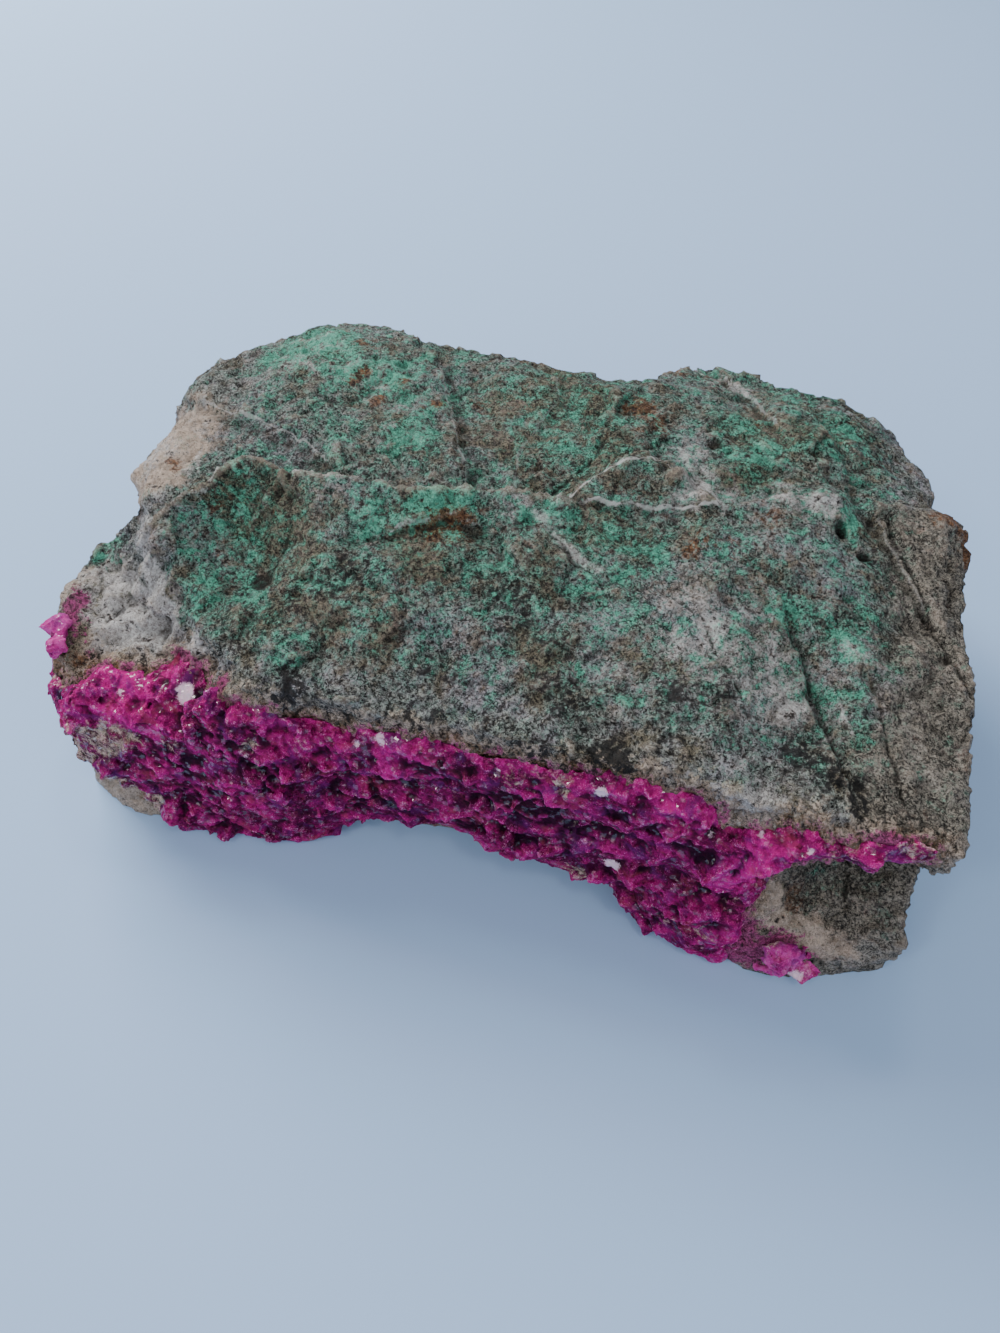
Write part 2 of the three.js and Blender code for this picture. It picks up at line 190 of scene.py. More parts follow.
class Finish:
    """A material and the ways to add to it."""

    def __init__(self, name, **constants):
        self.material = bpy.data.materials.new(name)
        self.material.use_nodes = True
        self.tree = self.material.node_tree
        self.surface = self.tree.nodes["Principled BSDF"]
        for socket, value in constants.items():
            self.surface.inputs[socket.replace("_", " ")].default_value = value

    def feed(self, socket, value):
        """Links a value to a socket, or sets the socket to a number."""
        if isinstance(value, Value):
            self.tree.links.new(value.out, socket)
        else:
            socket.default_value = value

    def node(self, kind, settings=None, sockets=None, output=0):
        """Adds any shader node: its settings first, then its sockets' values or links."""
        made = self.tree.nodes.new("ShaderNode" + kind)
        for name, value in (settings or {}).items():
            setattr(made, name, value)
        for name, value in (sockets or {}).items():
            self.feed(made.inputs[name], value)
        return Value(self, made.outputs[output])

    def place(self):
        """The place on the piece, in millimetres."""
        here = self.node("TexCoord", output="Object")
        settings = {"operation": "SCALE"}
        return self.node("VectorMath", settings, {0: here, "Scale": 1 / MM})

    def grain(self, place, size, detail, rough, bend=0.0):
        """Smooth noise whose lumps are about size millimetres."""
        sockets = {"Vector": place, "Scale": 1 / size, "Detail": detail}
        sockets |= {"Roughness": rough, "Distortion": bend}
        return self.node("TexNoise", None, sockets)

    def bent(self, place, size, amount):
        """The place, moved unevenly by up to about amount millimetres."""
        sockets = {"Vector": place, "Scale": 1 / size, "Detail": 2.0}
        waves = self.node("TexNoise", None, sockets, "Color")
        settings = {"operation": "SUBTRACT"}
        centred = self.node("VectorMath", settings, {0: waves, 1: (0.5, 0.5, 0.5)})
        settings = {"operation": "MULTIPLY_ADD"}
        amounts = (2 * amount, 2 * amount, 2 * amount)
        return self.node("VectorMath", settings, {0: centred, 1: amounts, 2: place})

    def chances(self, place, size):
        """Three even random numbers for each grain of about size millimetres."""
        sockets = {"Vector": place, "Scale": 1 / size}
        grains = self.node("TexVoronoi", None, sockets, "Color")
        return [self.node("SeparateColor", None, {0: grains}, k) for k in range(3)]

    def mark(self, name):
        """A number painted on the piece's points."""
        return self.node("Attribute", {"attribute_name": name}, None, "Fac")

    def rise(self, value, low, high):
        """0 below low and 1 above high, with a soft change between them."""
        sockets = {"Value": value, "From Min": low, "From Max": high}
        settings = {"interpolation_type": "SMOOTHSTEP"}
        return self.node("MapRange", settings, sockets)

    def mix(self, first, second, share):
        """One colour passing into another."""
        sockets = {0: share, 6: first, 7: second}
        return self.node("Mix", {"data_type": "RGBA"}, sockets, 2)

    def paint(self, socket, value):
        self.feed(self.surface.inputs[socket], value)

    def relief(self, height, depth):
        """Fine relief of about depth millimetres, by a Bump node."""
        sockets = {"Height": height, "Distance": depth * MM, "Strength": 1.0}
        self.paint("Normal", self.node("Bump", None, sockets))


def colour(red, green, blue):
    """A colour as seen on a screen, 0 to 255, as the light it sends back."""
    def light(c):
        c /= 255
        return c / 12.92 if c <= 0.04045 else ((c + 0.055) / 1.055) ** 2.4
    return (light(red), light(green), light(blue), 1.0)


# %% [markdown]
# ## The host rock's shape
#
# The block was broken off a vein wall, so its skin is all fracture: chips a few
# millimetres wide that meet at sharp steps, over grains of about a millimetre.
# A voxel remesh of the CAD solid gives points close enough together for chips,
# and cellular noise moves them, so that they show at the outline too.

# %% Helpers for meshes
def clean_copy(node, name):
    """A new object with a copy of a CAD node's mesh, its doubled corners joined."""
    mesh = frame["nodes"][node].data.copy()
    mesh.name = name
    shape = bmesh.new()
    shape.from_mesh(mesh)
    bmesh.ops.remove_doubles(shape, verts=shape.verts, dist=SAME_PLACE)
    shape.to_mesh(mesh)
    shape.free()
    return new_object(name, mesh)


def settle(piece):
    """Turns a piece's modifiers into plain mesh."""
    graph = bpy.context.evaluated_depsgraph_get()
    mesh = bpy.data.meshes.new_from_object(piece.evaluated_get(graph))
    piece.modifiers.clear()
    piece.data = mesh


def rows(items, name, width, kind=float):
    """One property of all of a mesh's items, with a row for each item."""
    flat = np.empty(len(items) * width, kind)
    items.foreach_get(name, flat)
    return flat.reshape(-1, width)


def points_of(mesh):
    """The mesh's points as rows of millimetres in the drawing's frame."""
    return rows(mesh.vertices, "co", 3) / MM - ZERO_ROW


def normals_of(mesh):
    return rows(mesh.vertex_normals, "vector", 3)


def edge_pairs(mesh):
    return rows(mesh.edges, "vertices", 2, np.int64)


def set_points(mesh, places):
    mesh.vertices.foreach_set("co", ((places + ZERO_ROW) * MM).ravel())
    mesh.update()


def triangle_count(mesh):
    return sum(len(f.vertices) - 2 for f in mesh.polygons)


def even_skin(piece, step):
    """Remakes a piece's skin with faces of about step millimetres."""
    remesh = piece.modifiers.new("even skin", "REMESH")
    remesh.mode = "VOXEL"
    remesh.voxel_size = step * MM
    settle(piece)


def thin_out(piece, most):
    """Merges the flattest faces of a piece until it has at most so many triangles."""
    fewer = piece.modifiers.new("fewer faces", "DECIMATE")
    fewer.ratio = min(1.0, most / triangle_count(piece.data))
    settle(piece)


# %% Even skin over the CAD block
ROCK_STEP = 0.46
ROCK_TRIANGLES = 190_000

rock = clean_copy("matrix_rock", "host_rock")
even_skin(rock, ROCK_STEP)
print("even skin:", len(rock.data.vertices), "points")


# %% Smoothing and unevenness
def relax(values, pairs, times):
    """Moves each value towards the mean of its neighbours' values, some times over."""
    first, second = pairs.T
    count = np.bincount(pairs.ravel(), minlength=len(values))[:, None]
    for _ in range(times):
        total = np.zeros_like(values)
        for axis in range(values.shape[1]):
            total[:, axis] = np.bincount(first, values[second, axis], len(values))
            total[:, axis] += np.bincount(second, values[first, axis], len(values))
        values = 0.5 * values + 0.5 * total / count
    return values


def fade(distance, reach):
    """1 at no distance, and almost nothing at twice the reach."""
    return np.exp(-((distance / reach) ** 2))


def ramp(values, low, width):
    """0 up to low, then evenly up to 1 over a width."""
    return np.clip((values - low) / width, 0, 1)


def lumps(places, size, octaves, shift=0.0):
    """Fractal unevenness from about -1 to 1, with lumps of about size millimetres."""
    move = Vector((shift, shift, shift))
    return np.array(
        [noise.fractal(Vector(p) / size + move, 0.9, 2.0, octaves) for p in places]
    )


def chips(places, size, tilt):
    """Flat chips of about size millimetres, each tilted its own way."""
    height = np.empty(len(places))
    for i, p in enumerate(places):
        spot = Vector(p) / size
        _, middles = noise.voronoi(spot)
        lean = 2 * noise.cell_vector(middles[0]) - Vector((1, 1, 1))
        height[i] = lean.dot(spot - middles[0]) * tilt + 0.5 * lean.z
    return height


# %% [markdown]
# The rock's own steps, grooves, dips and pits each have a name and a place in
# the drawing, seen from above. A point's distance from such a line or middle
# says how much it sinks.


# %% Named steps, grooves and pits
def from_line(plan, line):
    """Each point's distance from a line of points, positive on the line's left."""
    nearest = np.full(len(plan), np.inf)
    side = np.ones(len(plan))
    for start, end in zip(np.array(line[:-1]), np.array(line[1:])):
        along = end - start
        share = np.clip((plan - start) @ along / (along @ along), 0, 1)
        away = plan - start - share[:, None] * along
        distance = np.linalg.norm(away, axis=1)
        closer = distance < nearest
        nearest[closer] = distance[closer]
        turn = along[0] * away[:, 1] - along[1] * away[:, 0]
        side[closer] = np.where(turn[closer] >= 0, 1, -1)
    return nearest, side


# The front block's upper edge, from right to left
RIDGE = [
    (4.3, 1.2), (-0.8, 0.5), (-7.3, -0.6), (-10.9, -1.9), (-14.2, -3.8), (-19.9, -2.4),
    (-23.9, -2.8), (-30.9, -3.9), (-35.7, -2.6), (-39.5, -3.6), (-41.1, -8), (-44, -11),
]
# line, depth of the drop on the line's right, how far the drop reaches, strength of the white
# painted highlight along its edge, width of the slope
STEPS = {
    "rusty ledge": ([(-14.6, -8.9), (-12, -7.5), (-7.9, -5.2), (-5.8, -5.1)], 1.2, 3, 0.8, 0.5),
    "back ledge": (
        [(-52.5, 12.6), (-41.8, 7.8), (-36, 5.9), (-31.9, 3.9), (-29, 1.8)], 1.0, 6, 0.5, 1.6,
    ),
    "plate front": ([(4.3, 1.2), (9.3, 2.6), (14.5, 3), (19.6, 3.6), (24.4, 4.8)], 0.8, 4, 0.9, 0.4),
    "plate back": ([(24.4, 5.2), (16.1, 11.2), (13.2, 9.6), (8.5, 6.2), (4.3, 2)], 0.6, 4, 0.7, 1.2),
    "tall step": ([(-8.1, 1.5), (-11.7, 9.3), (-16.2, 18.8), (-20.6, 27.5)], 1.0, 5, 0.3, 1.4),
    "white back edge": ([(21.4, 44.5), (25.3, 37.8), (30.2, 25.6)], 1.0, 5, 0.4, 0.8),
    "right block": ([(44.5, 11.3), (46.4, 8), (48.5, 4.5), (51.6, -0.6)], 1.3, 5, 0.2, 0.6),
    "front right lip": ([(44, -27.6), (41.9, -22.9), (38.3, -14.8), (35, -9)], 0.8, 4, 0.2, 0.8),
    "ridge crest": (RIDGE, 2.0, 4.0, 1.0, 0.4),
    "hollow's edge": ([(-20.9, -26.9), (-20.5, -19), (-20.1, -12.4), (-24, -7)], 0.6, 5, 0.0, 2.0),
    "back crack": ([(40.4, 19.3), (37.1, 27.2), (33, 38)], 0.8, 4, 0.0, 0.8),
    "green shelf": ([(27, 21), (30.5, 17), (35, 15.5), (40, 18)], 0.8, 4, 0.1, 1.5),
    "shallow step": ([(-2, 3), (-3.5, 12), (-1, 22), (-4, 33)], 0.7, 5, 0.2, 1.2),
    "front slab": ([(-1, -6), (6, -16), (14, -22), (20, -29)], 0.6, 6, 0.1, 2.2),
}
# line, depth, half width
GROOVES = {
    "front right groove": ([(35.7, -10.4), (38.3, -14.8), (41.9, -22.9), (44, -27.6)], 1.0, 0.5),
    "right crack": ([(51.6, -0.6), (54.7, -5.1), (57.6, -11.3)], 1.2, 0.5),
    "ridge crack": ([(4.4, -4), (8, -7.4), (12.9, -9.8)], 0.4, 0.35),
    "top crack": ([(2, 3), (6.3, 10), (8, 17), (11.9, 24.8)], 0.4, 0.35),
    "left crack": ([(-31, -4), (-29, -11), (-30, -18)], 0.4, 0.4),
    "face crack": ([(19.7, -9.7), (25.1, -12.8), (31.3, -22)], 0.4, 0.35),
    "block gap": ([(45.5, 12), (47.4, 8.2), (49.5, 4.6), (52, 0)], 0.8, 0.6),
    "side crack": ([(46, -14), (48.5, -21), (50.5, -29)], 0.5, 0.4),
}
# middle, radius, depth
DIPS = {
    "front left hollow": ((-33, -14), 7.5, 1.5),
    "behind the ridge": ((-37, 4), 5.0, 0.9),
    "below the plate": ((16, -2), 6.0, 0.6),
    "right of the plate": ((28, 9), 5.0, 0.8),
    "rise under the ridge": ((-22, -7), 5.0, -0.7),
    "rise in front": ((-8, -22), 9.0, -0.6),
    "rise at the right": ((33, -4), 6.0, -0.7),
}
PITS = {
    "upper pit": ((39.9, 6.6), 0.75, 2.0),
    "lower pit": ((43.4, 3.9), 0.8, 2.0),
    "left pit": ((-30.5, -17), 1.3, 0.6),
    "small pit": ((22, 19), 0.8, 0.7),
}
FAR = 4.0
WANDER = 0.5  # about how far the named lines stray from their course
CREST_HEIGHT, CREST_SLOPE, CREST_REACH = 0.8, 0.4, 2.2  # the rim along the ridge


def named_relief(places):
    """How far the named steps, grooves and pits lower each place, its distance above the
    nearest step and how strong the painted highlight on that step's edge is, how much
    painted shadow lies at the steps' feet, and the distance from the nearest groove."""
    wander = np.stack([lumps(places, 2.5, 3, 9.0), lumps(places, 2.5, 3, 31.0)], 1)
    plan = places[:, :2] + WANDER * wander
    down = np.zeros(len(places))
    rim_highlight, foot = np.zeros(len(places)), np.zeros(len(places))
    ledge, crack = np.full(len(places), FAR), np.full(len(places), FAR)
    for line, drop, reach, pale, slope in STEPS.values():
        away, side = from_line(plan, line)
        high = side * away
        below = np.clip(0.5 - high / slope, 0, 1)
        down += drop * below * fade(away, reach)
        nearer = away < np.abs(ledge)
        ledge[nearer] = high[nearer]
        rim_highlight[nearer] = pale
        # painted shadow at the foot of each step, for the finish
        foot = np.maximum(foot, drop * np.exp(-((high / slope + 0.8) ** 2)))
    for line, depth, half in GROOVES.values():
        away, _ = from_line(plan, line)
        down += depth * fade(away, half)
        crack = np.minimum(crack, away)
    away, side = from_line(plan, RIDGE)
    behind = np.clip(0.5 + side * away / CREST_SLOPE, 0, 1)
    down -= CREST_HEIGHT * behind * fade(away, CREST_REACH)
    for middle, radius, depth in DIPS.values():
        away = np.linalg.norm(plan - np.array(middle), axis=1)
        down += depth * fade(away, radius)
    for middle, radius, depth in PITS.values():
        away = np.linalg.norm(plan - np.array(middle), axis=1)
        down += depth * np.exp(-((away / radius) ** 4))
        crack = np.minimum(crack, np.maximum(away - radius, 0))
    return down, ledge, rim_highlight, foot, crack


# %% Move the skin
SHOULDER = np.array((-49.0, -23.0, 29.0))
SHOULDER_REACH = 11.0
SLOT = 1.6  # the skin swells where the crystals are nearer than this
CRUST_SEARCH = 9.0
CONTACT_REACH = 3.8
FLAT_BASE = 0.15  # points below this height belong to the resting face
CALM_BASE = 2.5  # and up to this height the skin is moved less


def search_tree(mesh):
    return BVHTree.FromPolygons(
        [v.co for v in mesh.vertices], [p.vertices[:] for p in mesh.polygons]
    )


def distances(places, tree, reach):
    """Each place's distance from a mesh in millimetres, up to a reach."""
    found = np.full(len(places), reach)
    for i, p in enumerate((places + ZERO_ROW) * MM):
        near = tree.find_nearest(p, reach * MM)
        if near[0] is not None:
            found[i] = near[3] / MM
    return found


places = points_of(rock.data)
pairs = edge_pairs(rock.data)
flat_base = places[:, 2] < FLAT_BASE
places = relax(places, pairs, 1)
normals = normals_of(rock.data)
upward = ramp(normals[:, 2], 0.25, 0.4)
sink, ledge, rim_highlight, foot, crack = named_relief(places)
sink *= upward
crust_tree = search_tree(frame["nodes"]["crystal_crust"].data)
crust_near = distances(places, crust_tree, CRUST_SEARCH)
contact = fade(crust_near, CONTACT_REACH)
shoulder = np.exp(-((places - SHOULDER) ** 2).sum(1) / SHOULDER_REACH**2)
push = (
    0.4 * lumps(places, 12.0, 3)
    + 0.5 * chips(places, 6.5, 0.8)
    + 0.36 * chips(places + 50, 2.8, 0.9)
    + 0.16 * chips(places + 90, 1.2, 0.9)
    + 0.26 * lumps(places, 1.8, 4, 17.0)
    + 1.1 * shoulder * lumps(places, 4.0, 2, 23.0)
    + 0.7 * contact * lumps(places, 1.1, 3, 41.0)
    + 0.8 * np.clip(1 - crust_near / SLOT, 0, 1)
)
calm = ramp(places[:, 2], 0, CALM_BASE)
places += normals * (push * calm)[:, None]
places[:, 2] -= sink
places[flat_base, 2] = 0.0
places[:, 2] = np.maximum(places[:, 2], 0.0)
set_points(rock.data, places)
smooth_places = relax(places, pairs, 20)
proud = ((places - smooth_places) * normals_of(rock.data)).sum(1)
print("moved by", round(push.min(), 2), "to", round(push.max(), 2), "mm; proud", proud.std())

# %% [markdown]
# ## Where the rock's minerals lie
#
# Malachite-green staining, rust, white calcite, black manganese specks and tan
# weathering each lie in their own places. A soft round mark says where there
# is much of a mineral, and the finish later breaks the marks up into grains.

# %% Marks of the minerals
# x, y, z, radius, strength
GREEN_MARKS = [
    (-42, 24, 41, 5, 0.5), (-49, 28, 38, 4, 0.45), (-40, 29, 42, 6, 0.45), (-35, 22, 42, 5, 0.35),
    (-49, 21, 38, 3, 0.4), (-57, 18, 36, 2.5, 0.5), (-27, 20, 42, 5, 0.45), (-19, 9, 41, 4, 0.55),
    (-17, 17, 41, 3, 0.3), (-22, 27, 42, 5, 0.2), (-11, -4.8, 42, 3, 0.9), (-7, -3, 42, 2, 0.4),
    (-1, 23, 41, 5, 0.25), (1, 14, 41, 5, 0.2), (7, 20, 41, 4, 0.15), (25, 25, 41, 4, 0.35),
    (27, 18, 42, 4, 0.35), (31, 20, 41, 3, 0.25), (31, 38, 37, 5, 0.3), (39, 32, 38, 5, 0.35),
    (43, 22, 38, 4, 0.25), (-56.5, -14.5, 29.8, 3.2, 0.9), (-38, -5, 40, 3, 0.35),
    (-38, -12, 38, 4, 0.2), (-37, -21, 34, 4, 0.4), (-28, -24, 35, 5, 0.25), (-21, -18, 38, 4, 0.2),
    (-18, -8, 41, 3, 0.3), (3, -2, 41, 4, 0.3), (11, -2, 40.5, 4, 0.35), (17, -4, 40, 3, 0.4),
    (13, -12, 38.6, 4, 0.2), (-1, -10, 39, 5, 0.15), (-22, -28, 34, 3, 0.35),
    (35, -9.5, 39, 2.2, 0.6), (41, -8, 38, 3, 0.3), (43, -11, 37.7, 2, 0.3), (47.5, -9, 37, 2.5, 0.2),
    (38, -18, 36.5, 2.5, 0.4), (43.5, -17, 36, 1.5, 0.4), (42, 8, 41, 1.8, 0.9),
    (29, -3, 41, 3, 0.15), (-52, 30, 20, 14, 0.5), (10, 48, 20, 12, 0.5), (-20, 44, 24, 12, 0.5),
]
PALE_MARKS = [
    (19, 16, 41.5, 3.5, 0.6), (22, 10, 42, 3.5, 0.6), (20.5, 6, 43, 3, 0.7), (26, 9.5, 41.4, 3, 0.4),
    (13.5, 24, 41.6, 2.5, 0.4), (34, 10, 42.8, 3, 0.6), (37.5, 9, 42.8, 2.5, 0.6),
    (35.6, 7, 42, 3, 0.4), (31.4, 13, 41.4, 2.5, 0.4), (40.3, 11, 42.6, 2.5, 0.5),
    (47.5, 7, 40, 3, 0.3), (33, -33, 34, 4, 0.6), (-52, -18, 29.3, 5, 0.8), (-46, -24, 28, 4.5, 0.9),
    (-41, -25.5, 28.8, 3.5, 1), (-50, -10, 35, 2.2, 1.1), (-48, -14, 35.5, 2.2, 1.2),
    (-46, -18, 34, 2.2, 1.2), (-44, -21, 31, 2.2, 1.2), (-42, -23, 30, 2, 1.1),
    (-47, -4, 39, 1.6, 0.8), (-51, -17, 29.3, 2, 0.6), (-35, -28, 31, 2, 0.9),
    (-49, -25, 27.5, 4, 0.6), (-57, -20, 28.4, 3, 0.7), (-36.6, -27.3, 30.4, 2, 0.7),
    (-25, -5, 42.4, 3, 0.7), (24, 40, 37, 3.5, 0.6), (19, 44, 36, 4, 0.5), (-58, -33, 6, 6, 0.7),
    (-55, -36, 9, 5, 0.5), (41, -31, 33, 4, 0.4), (-8, 41, 38, 4, 0.5), (-0.5, -1.5, 41.8, 2, 0.6),
    (8, -6, 40, 2, 0.4), (-34, -9, 39.5, 2.5, 0.2), (24.6, -10.4, 40, 5, 0.4),
    (38, -20, 36.5, 5, 0.5), (33, -14, 38, 5, 0.4), (35.5, -33, 31.5, 2.6, 1.1),
    (22, -17, 38, 8, 0.3), (30, -22, 36, 8, 0.35), (-42, 24, 41, 12, 0.35), (-22, 14, 41, 10, 0.3),
    # The last three marks lighten the block's left end face as painted light, for the side that faces
    # the window lamp.
    (45, -12, 37, 6, 0.4), (12, -22, 37, 6, 0.2), (-54, 6, 35, 5, 0.6), (-53, -2, 37, 4, 0.5),
    (-57, 2, 33, 5, 0.5),
]
BEIGE_MARKS = [
    (-53, 8, 36, 5.5, 1), (-50.5, 1, 38.5, 4.2, 1), (-52, -5, 37.5, 4, 1), (-57, 11, 34, 4, 0.8),
    (-58, 0, 33, 6, 1), (-48.7, -6, 38.6, 2.2, 0.8), (-56, -6, 34, 4, 0.9), (47, -34, 7, 3.5, 0.7),
    (41, -34.5, 12, 3.5, 0.6), (52, 11, 38, 5, 0.4), (-60, -25, 22, 5, 0.5), (-50, -28, 27, 4, 0.4),
    (51, -30, 6, 5, 0.5), (8, -6, 40.2, 2.4, 0.45), (11.5, -8, 39.5, 2, 0.4), (39, -33, 18, 2.5, 0.7),
    (40, -33, 15, 2.2, 0.9), (42, -33, 12, 2.4, 0.9), (46, -33.5, 9, 2.4, 0.8),
    (37, -35, 20, 2.5, 0.6), (52, -33, 7, 2, 0.6), (-41, -27, 29, 2.5, 0.6),
    (-50, -26.5, 27.5, 3, 0.5), (-45, -28, 27, 2.5, 0.6), (-58, -18, 28, 3, 0.7),
    (-59, -22, 26, 4, 0.7), (-58, -28, 25, 3, 0.6), (-50, -33, 4, 7, 1), (-56, -33, 8, 7, 1),
]
LILAC_MARKS = [
    (-43, 5, 40, 5, 0.5), (-36, 3, 41, 4, 0.6), (-32, 1, 41.6, 3, 0.5), (-15, 15, 41.3, 3, 0.5),
    (-11, 8, 41.6, 3, 0.5), (-18, 24, 41.8, 3.5, 0.5), (-4, -21, 36.6, 5, 0.5),
    (1.6, -26, 35.5, 4, 0.4), (20, -10, 40, 4, 0.6), (24.6, -11, 40, 4, 0.5),
    (40.8, -13, 37.3, 3, 0.4), (26, -1, 41.8, 3, 0.5), (14, -19, 37.5, 4, 0.4), (38, -21, 36, 4, 0.5),
    (-8, 42, 38, 3, 0.6), (30, -24, 36, 4, 0.3), (19, 18, 41, 4, 0.4), (-24, -5.5, 42, 3, 0.5),
    (46, -28, 15, 5, 0.6), (50, -30, 10, 5, 0.4),
]
TAN_MARKS = [
    (51, 10, 39, 7, 0.9), (55, 0, 36, 8, 0.9), (55, -12, 35, 8, 0.9), (53, -25, 34, 7, 0.9),
    (55, -31, 33, 6, 0.9), (47, -25, 36, 4, 0.4), (58, -20, 20, 16, 0.8), (52, -26, 12, 9, 0.6),
    (-58, -20, 14, 12, 0.5), (60, 5, 20, 14, 0.6), (-56, 0, 20, 12, 0.5), (0, -20, 2, 30, 0.4),
    (30, 48, 14, 14, 0.5), (53, 19, 36, 5, 0.4),
]
# The marks in the front left hollow, about (-30, -10), and in the hollow under the right seam, about
# (48, -28), are partly brown rock and partly painted shade, as these hollows face away from the
# light.
BROWN_MARKS = [
    (-32, -8, 40, 5, 0.5), (-34, -12, 38, 4, 0.3), (-25, -15, 38, 4, 0.3), (-13, -9, 41, 5, 0.5),
    (-9, -13, 39.6, 4, 0.35), (-40, -7, 40, 3, 0.4), (9, 11, 41.6, 4, 0.4), (4, 26, 41, 4, 0.35),
    (-3, 31, 40, 4, 0.35), (27, 13, 41.5, 3.5, 0.5), (33, 24, 40, 4, 0.45), (37, 27, 39, 4, 0.3),
    (-10, 22, 41, 5, 0.3), (-5, 12, 41.5, 4, 0.3), (22, 0, 42, 2, 0.5), (-14, -22, 36, 5, 0.3),
    (8, -22, 37, 4, 0.25), (6, -12, 39, 4, 0.2), (58, 12, 36, 4, 0.4), (50, -20, 36, 4, 0.2),
    (32, -8, 40, 3, 0.25), (-44, 31, 40, 3, 0.4), (-54, 22, 36, 2.5, 0.5), (-47, 9, 39, 2.5, 0.3),
    (-52, -21, 28.5, 2.5, 0.7), (-47.5, -21.5, 28.5, 2, 0.6), (-54, -29, 26.5, 3, 0.8),
    (-48, -30, 26, 3, 0.8), (-46, -15.5, 36.5, 1.5, 0.6), (-42, -20.5, 32.5, 1.5, 0.6),
    (50, -26, 17, 5, 0.8), (56, -24, 12, 7, 0.5), (43, -29, 20, 4, 0.9), (50, -29, 11, 1.8, 0.9),
    (38, -35, 15, 2.5, 0.8), (41, -34, 10, 2.5, 0.6), (-28, -11, 38, 8, 0.2), (2, 20, 41, 14, 0.15),
    (28, 28, 40, 10, 0.15), (10, 2, 41, 10, 0.12), (48, -29, 12, 5, 0.7), (44, -28.5, 15, 4, 0.6),
]
RUST_MARKS = [
    (11.5, 24.5, 41, 2.4, 0.8), (13, 20, 41, 2, 0.5), (10, 27, 41, 2, 0.5), (6, 17, 41, 1.6, 0.7),
    (9.5, 7, 42, 1.8, 0.6), (-24, 20, 42, 1.6, 0.7), (-17, 17.5, 41, 1.5, 0.9),
    (-30, 20, 42, 1.6, 0.6), (-32, 27, 42, 1.8, 0.7), (-8.5, -6.6, 41.5, 2.3, 0.9),
    (-5, -6.5, 41.4, 1.8, 0.7), (-11.5, -8, 41, 1.6, 0.5), (-1.5, -9.5, 40, 1.3, 0.6),
    (22.5, -1.5, 42, 1.6, 0.9), (22.5, -4, 41.5, 1.4, 0.6), (30, 4.5, 41.5, 2, 0.4),
    (54, 16, 38, 2.5, 0.7), (58.5, 11, 36, 2.5, 0.8), (57, 14, 37, 2, 0.7),
    (-50.2, -2.8, 38.5, 1.3, 1), (14, 44, 30, 8, 0.4), (-30, 42, 26, 8, 0.4), (23, -36, 12, 8, 0.4),
    (-59, -30, 18, 5, 0.5), (-9, 33, 41, 2, 0.5), (-37, 30, 42, 1.5, 0.5), (-40, -9, 39.5, 1.5, 0.4),
    (-31, 17.5, 42, 1.3, 0.6), (-25.4, 15, 42, 1.2, 0.7), (-19, 14, 42, 1.2, 0.6),
    (1.5, 13, 41.5, 1.2, 0.6), (-5.3, 7, 41.5, 1.2, 0.5), (-12, 20.4, 41, 1.2, 0.6),
    (14, 5, 42.5, 1.2, 0.6), (27.4, 26.7, 40.6, 1.3, 0.6), (26.6, -0.6, 41.7, 1.2, 0.6),
    (-31.8, -10, 38.8, 1.3, 0.5), (9.6, -19, 37.6, 1, 0.5), (18.8, -17, 38.3, 1, 0.5),
    (-43, 26.6, 40.4, 1.5, 0.5), (52.6, 14.2, 38.7, 1.5, 0.5), (-36.5, -8.7, 40, 1.2, 0.5),
    (-57, -28, 25, 2.5, 0.6), (-52, -30, 26, 2.5, 0.5), (-46, -30, 26, 2, 0.5),
    (-41, -29.5, 27.5, 1.8, 0.6), (-24, -32.5, 30, 1.6, 0.5), (0, -32.5, 31, 1.8, 0.5),
    (38, -34, 20, 2.5, 0.4), (44, -31, 12, 2, 0.4), (50, -31, 31, 2, 0.4),
]
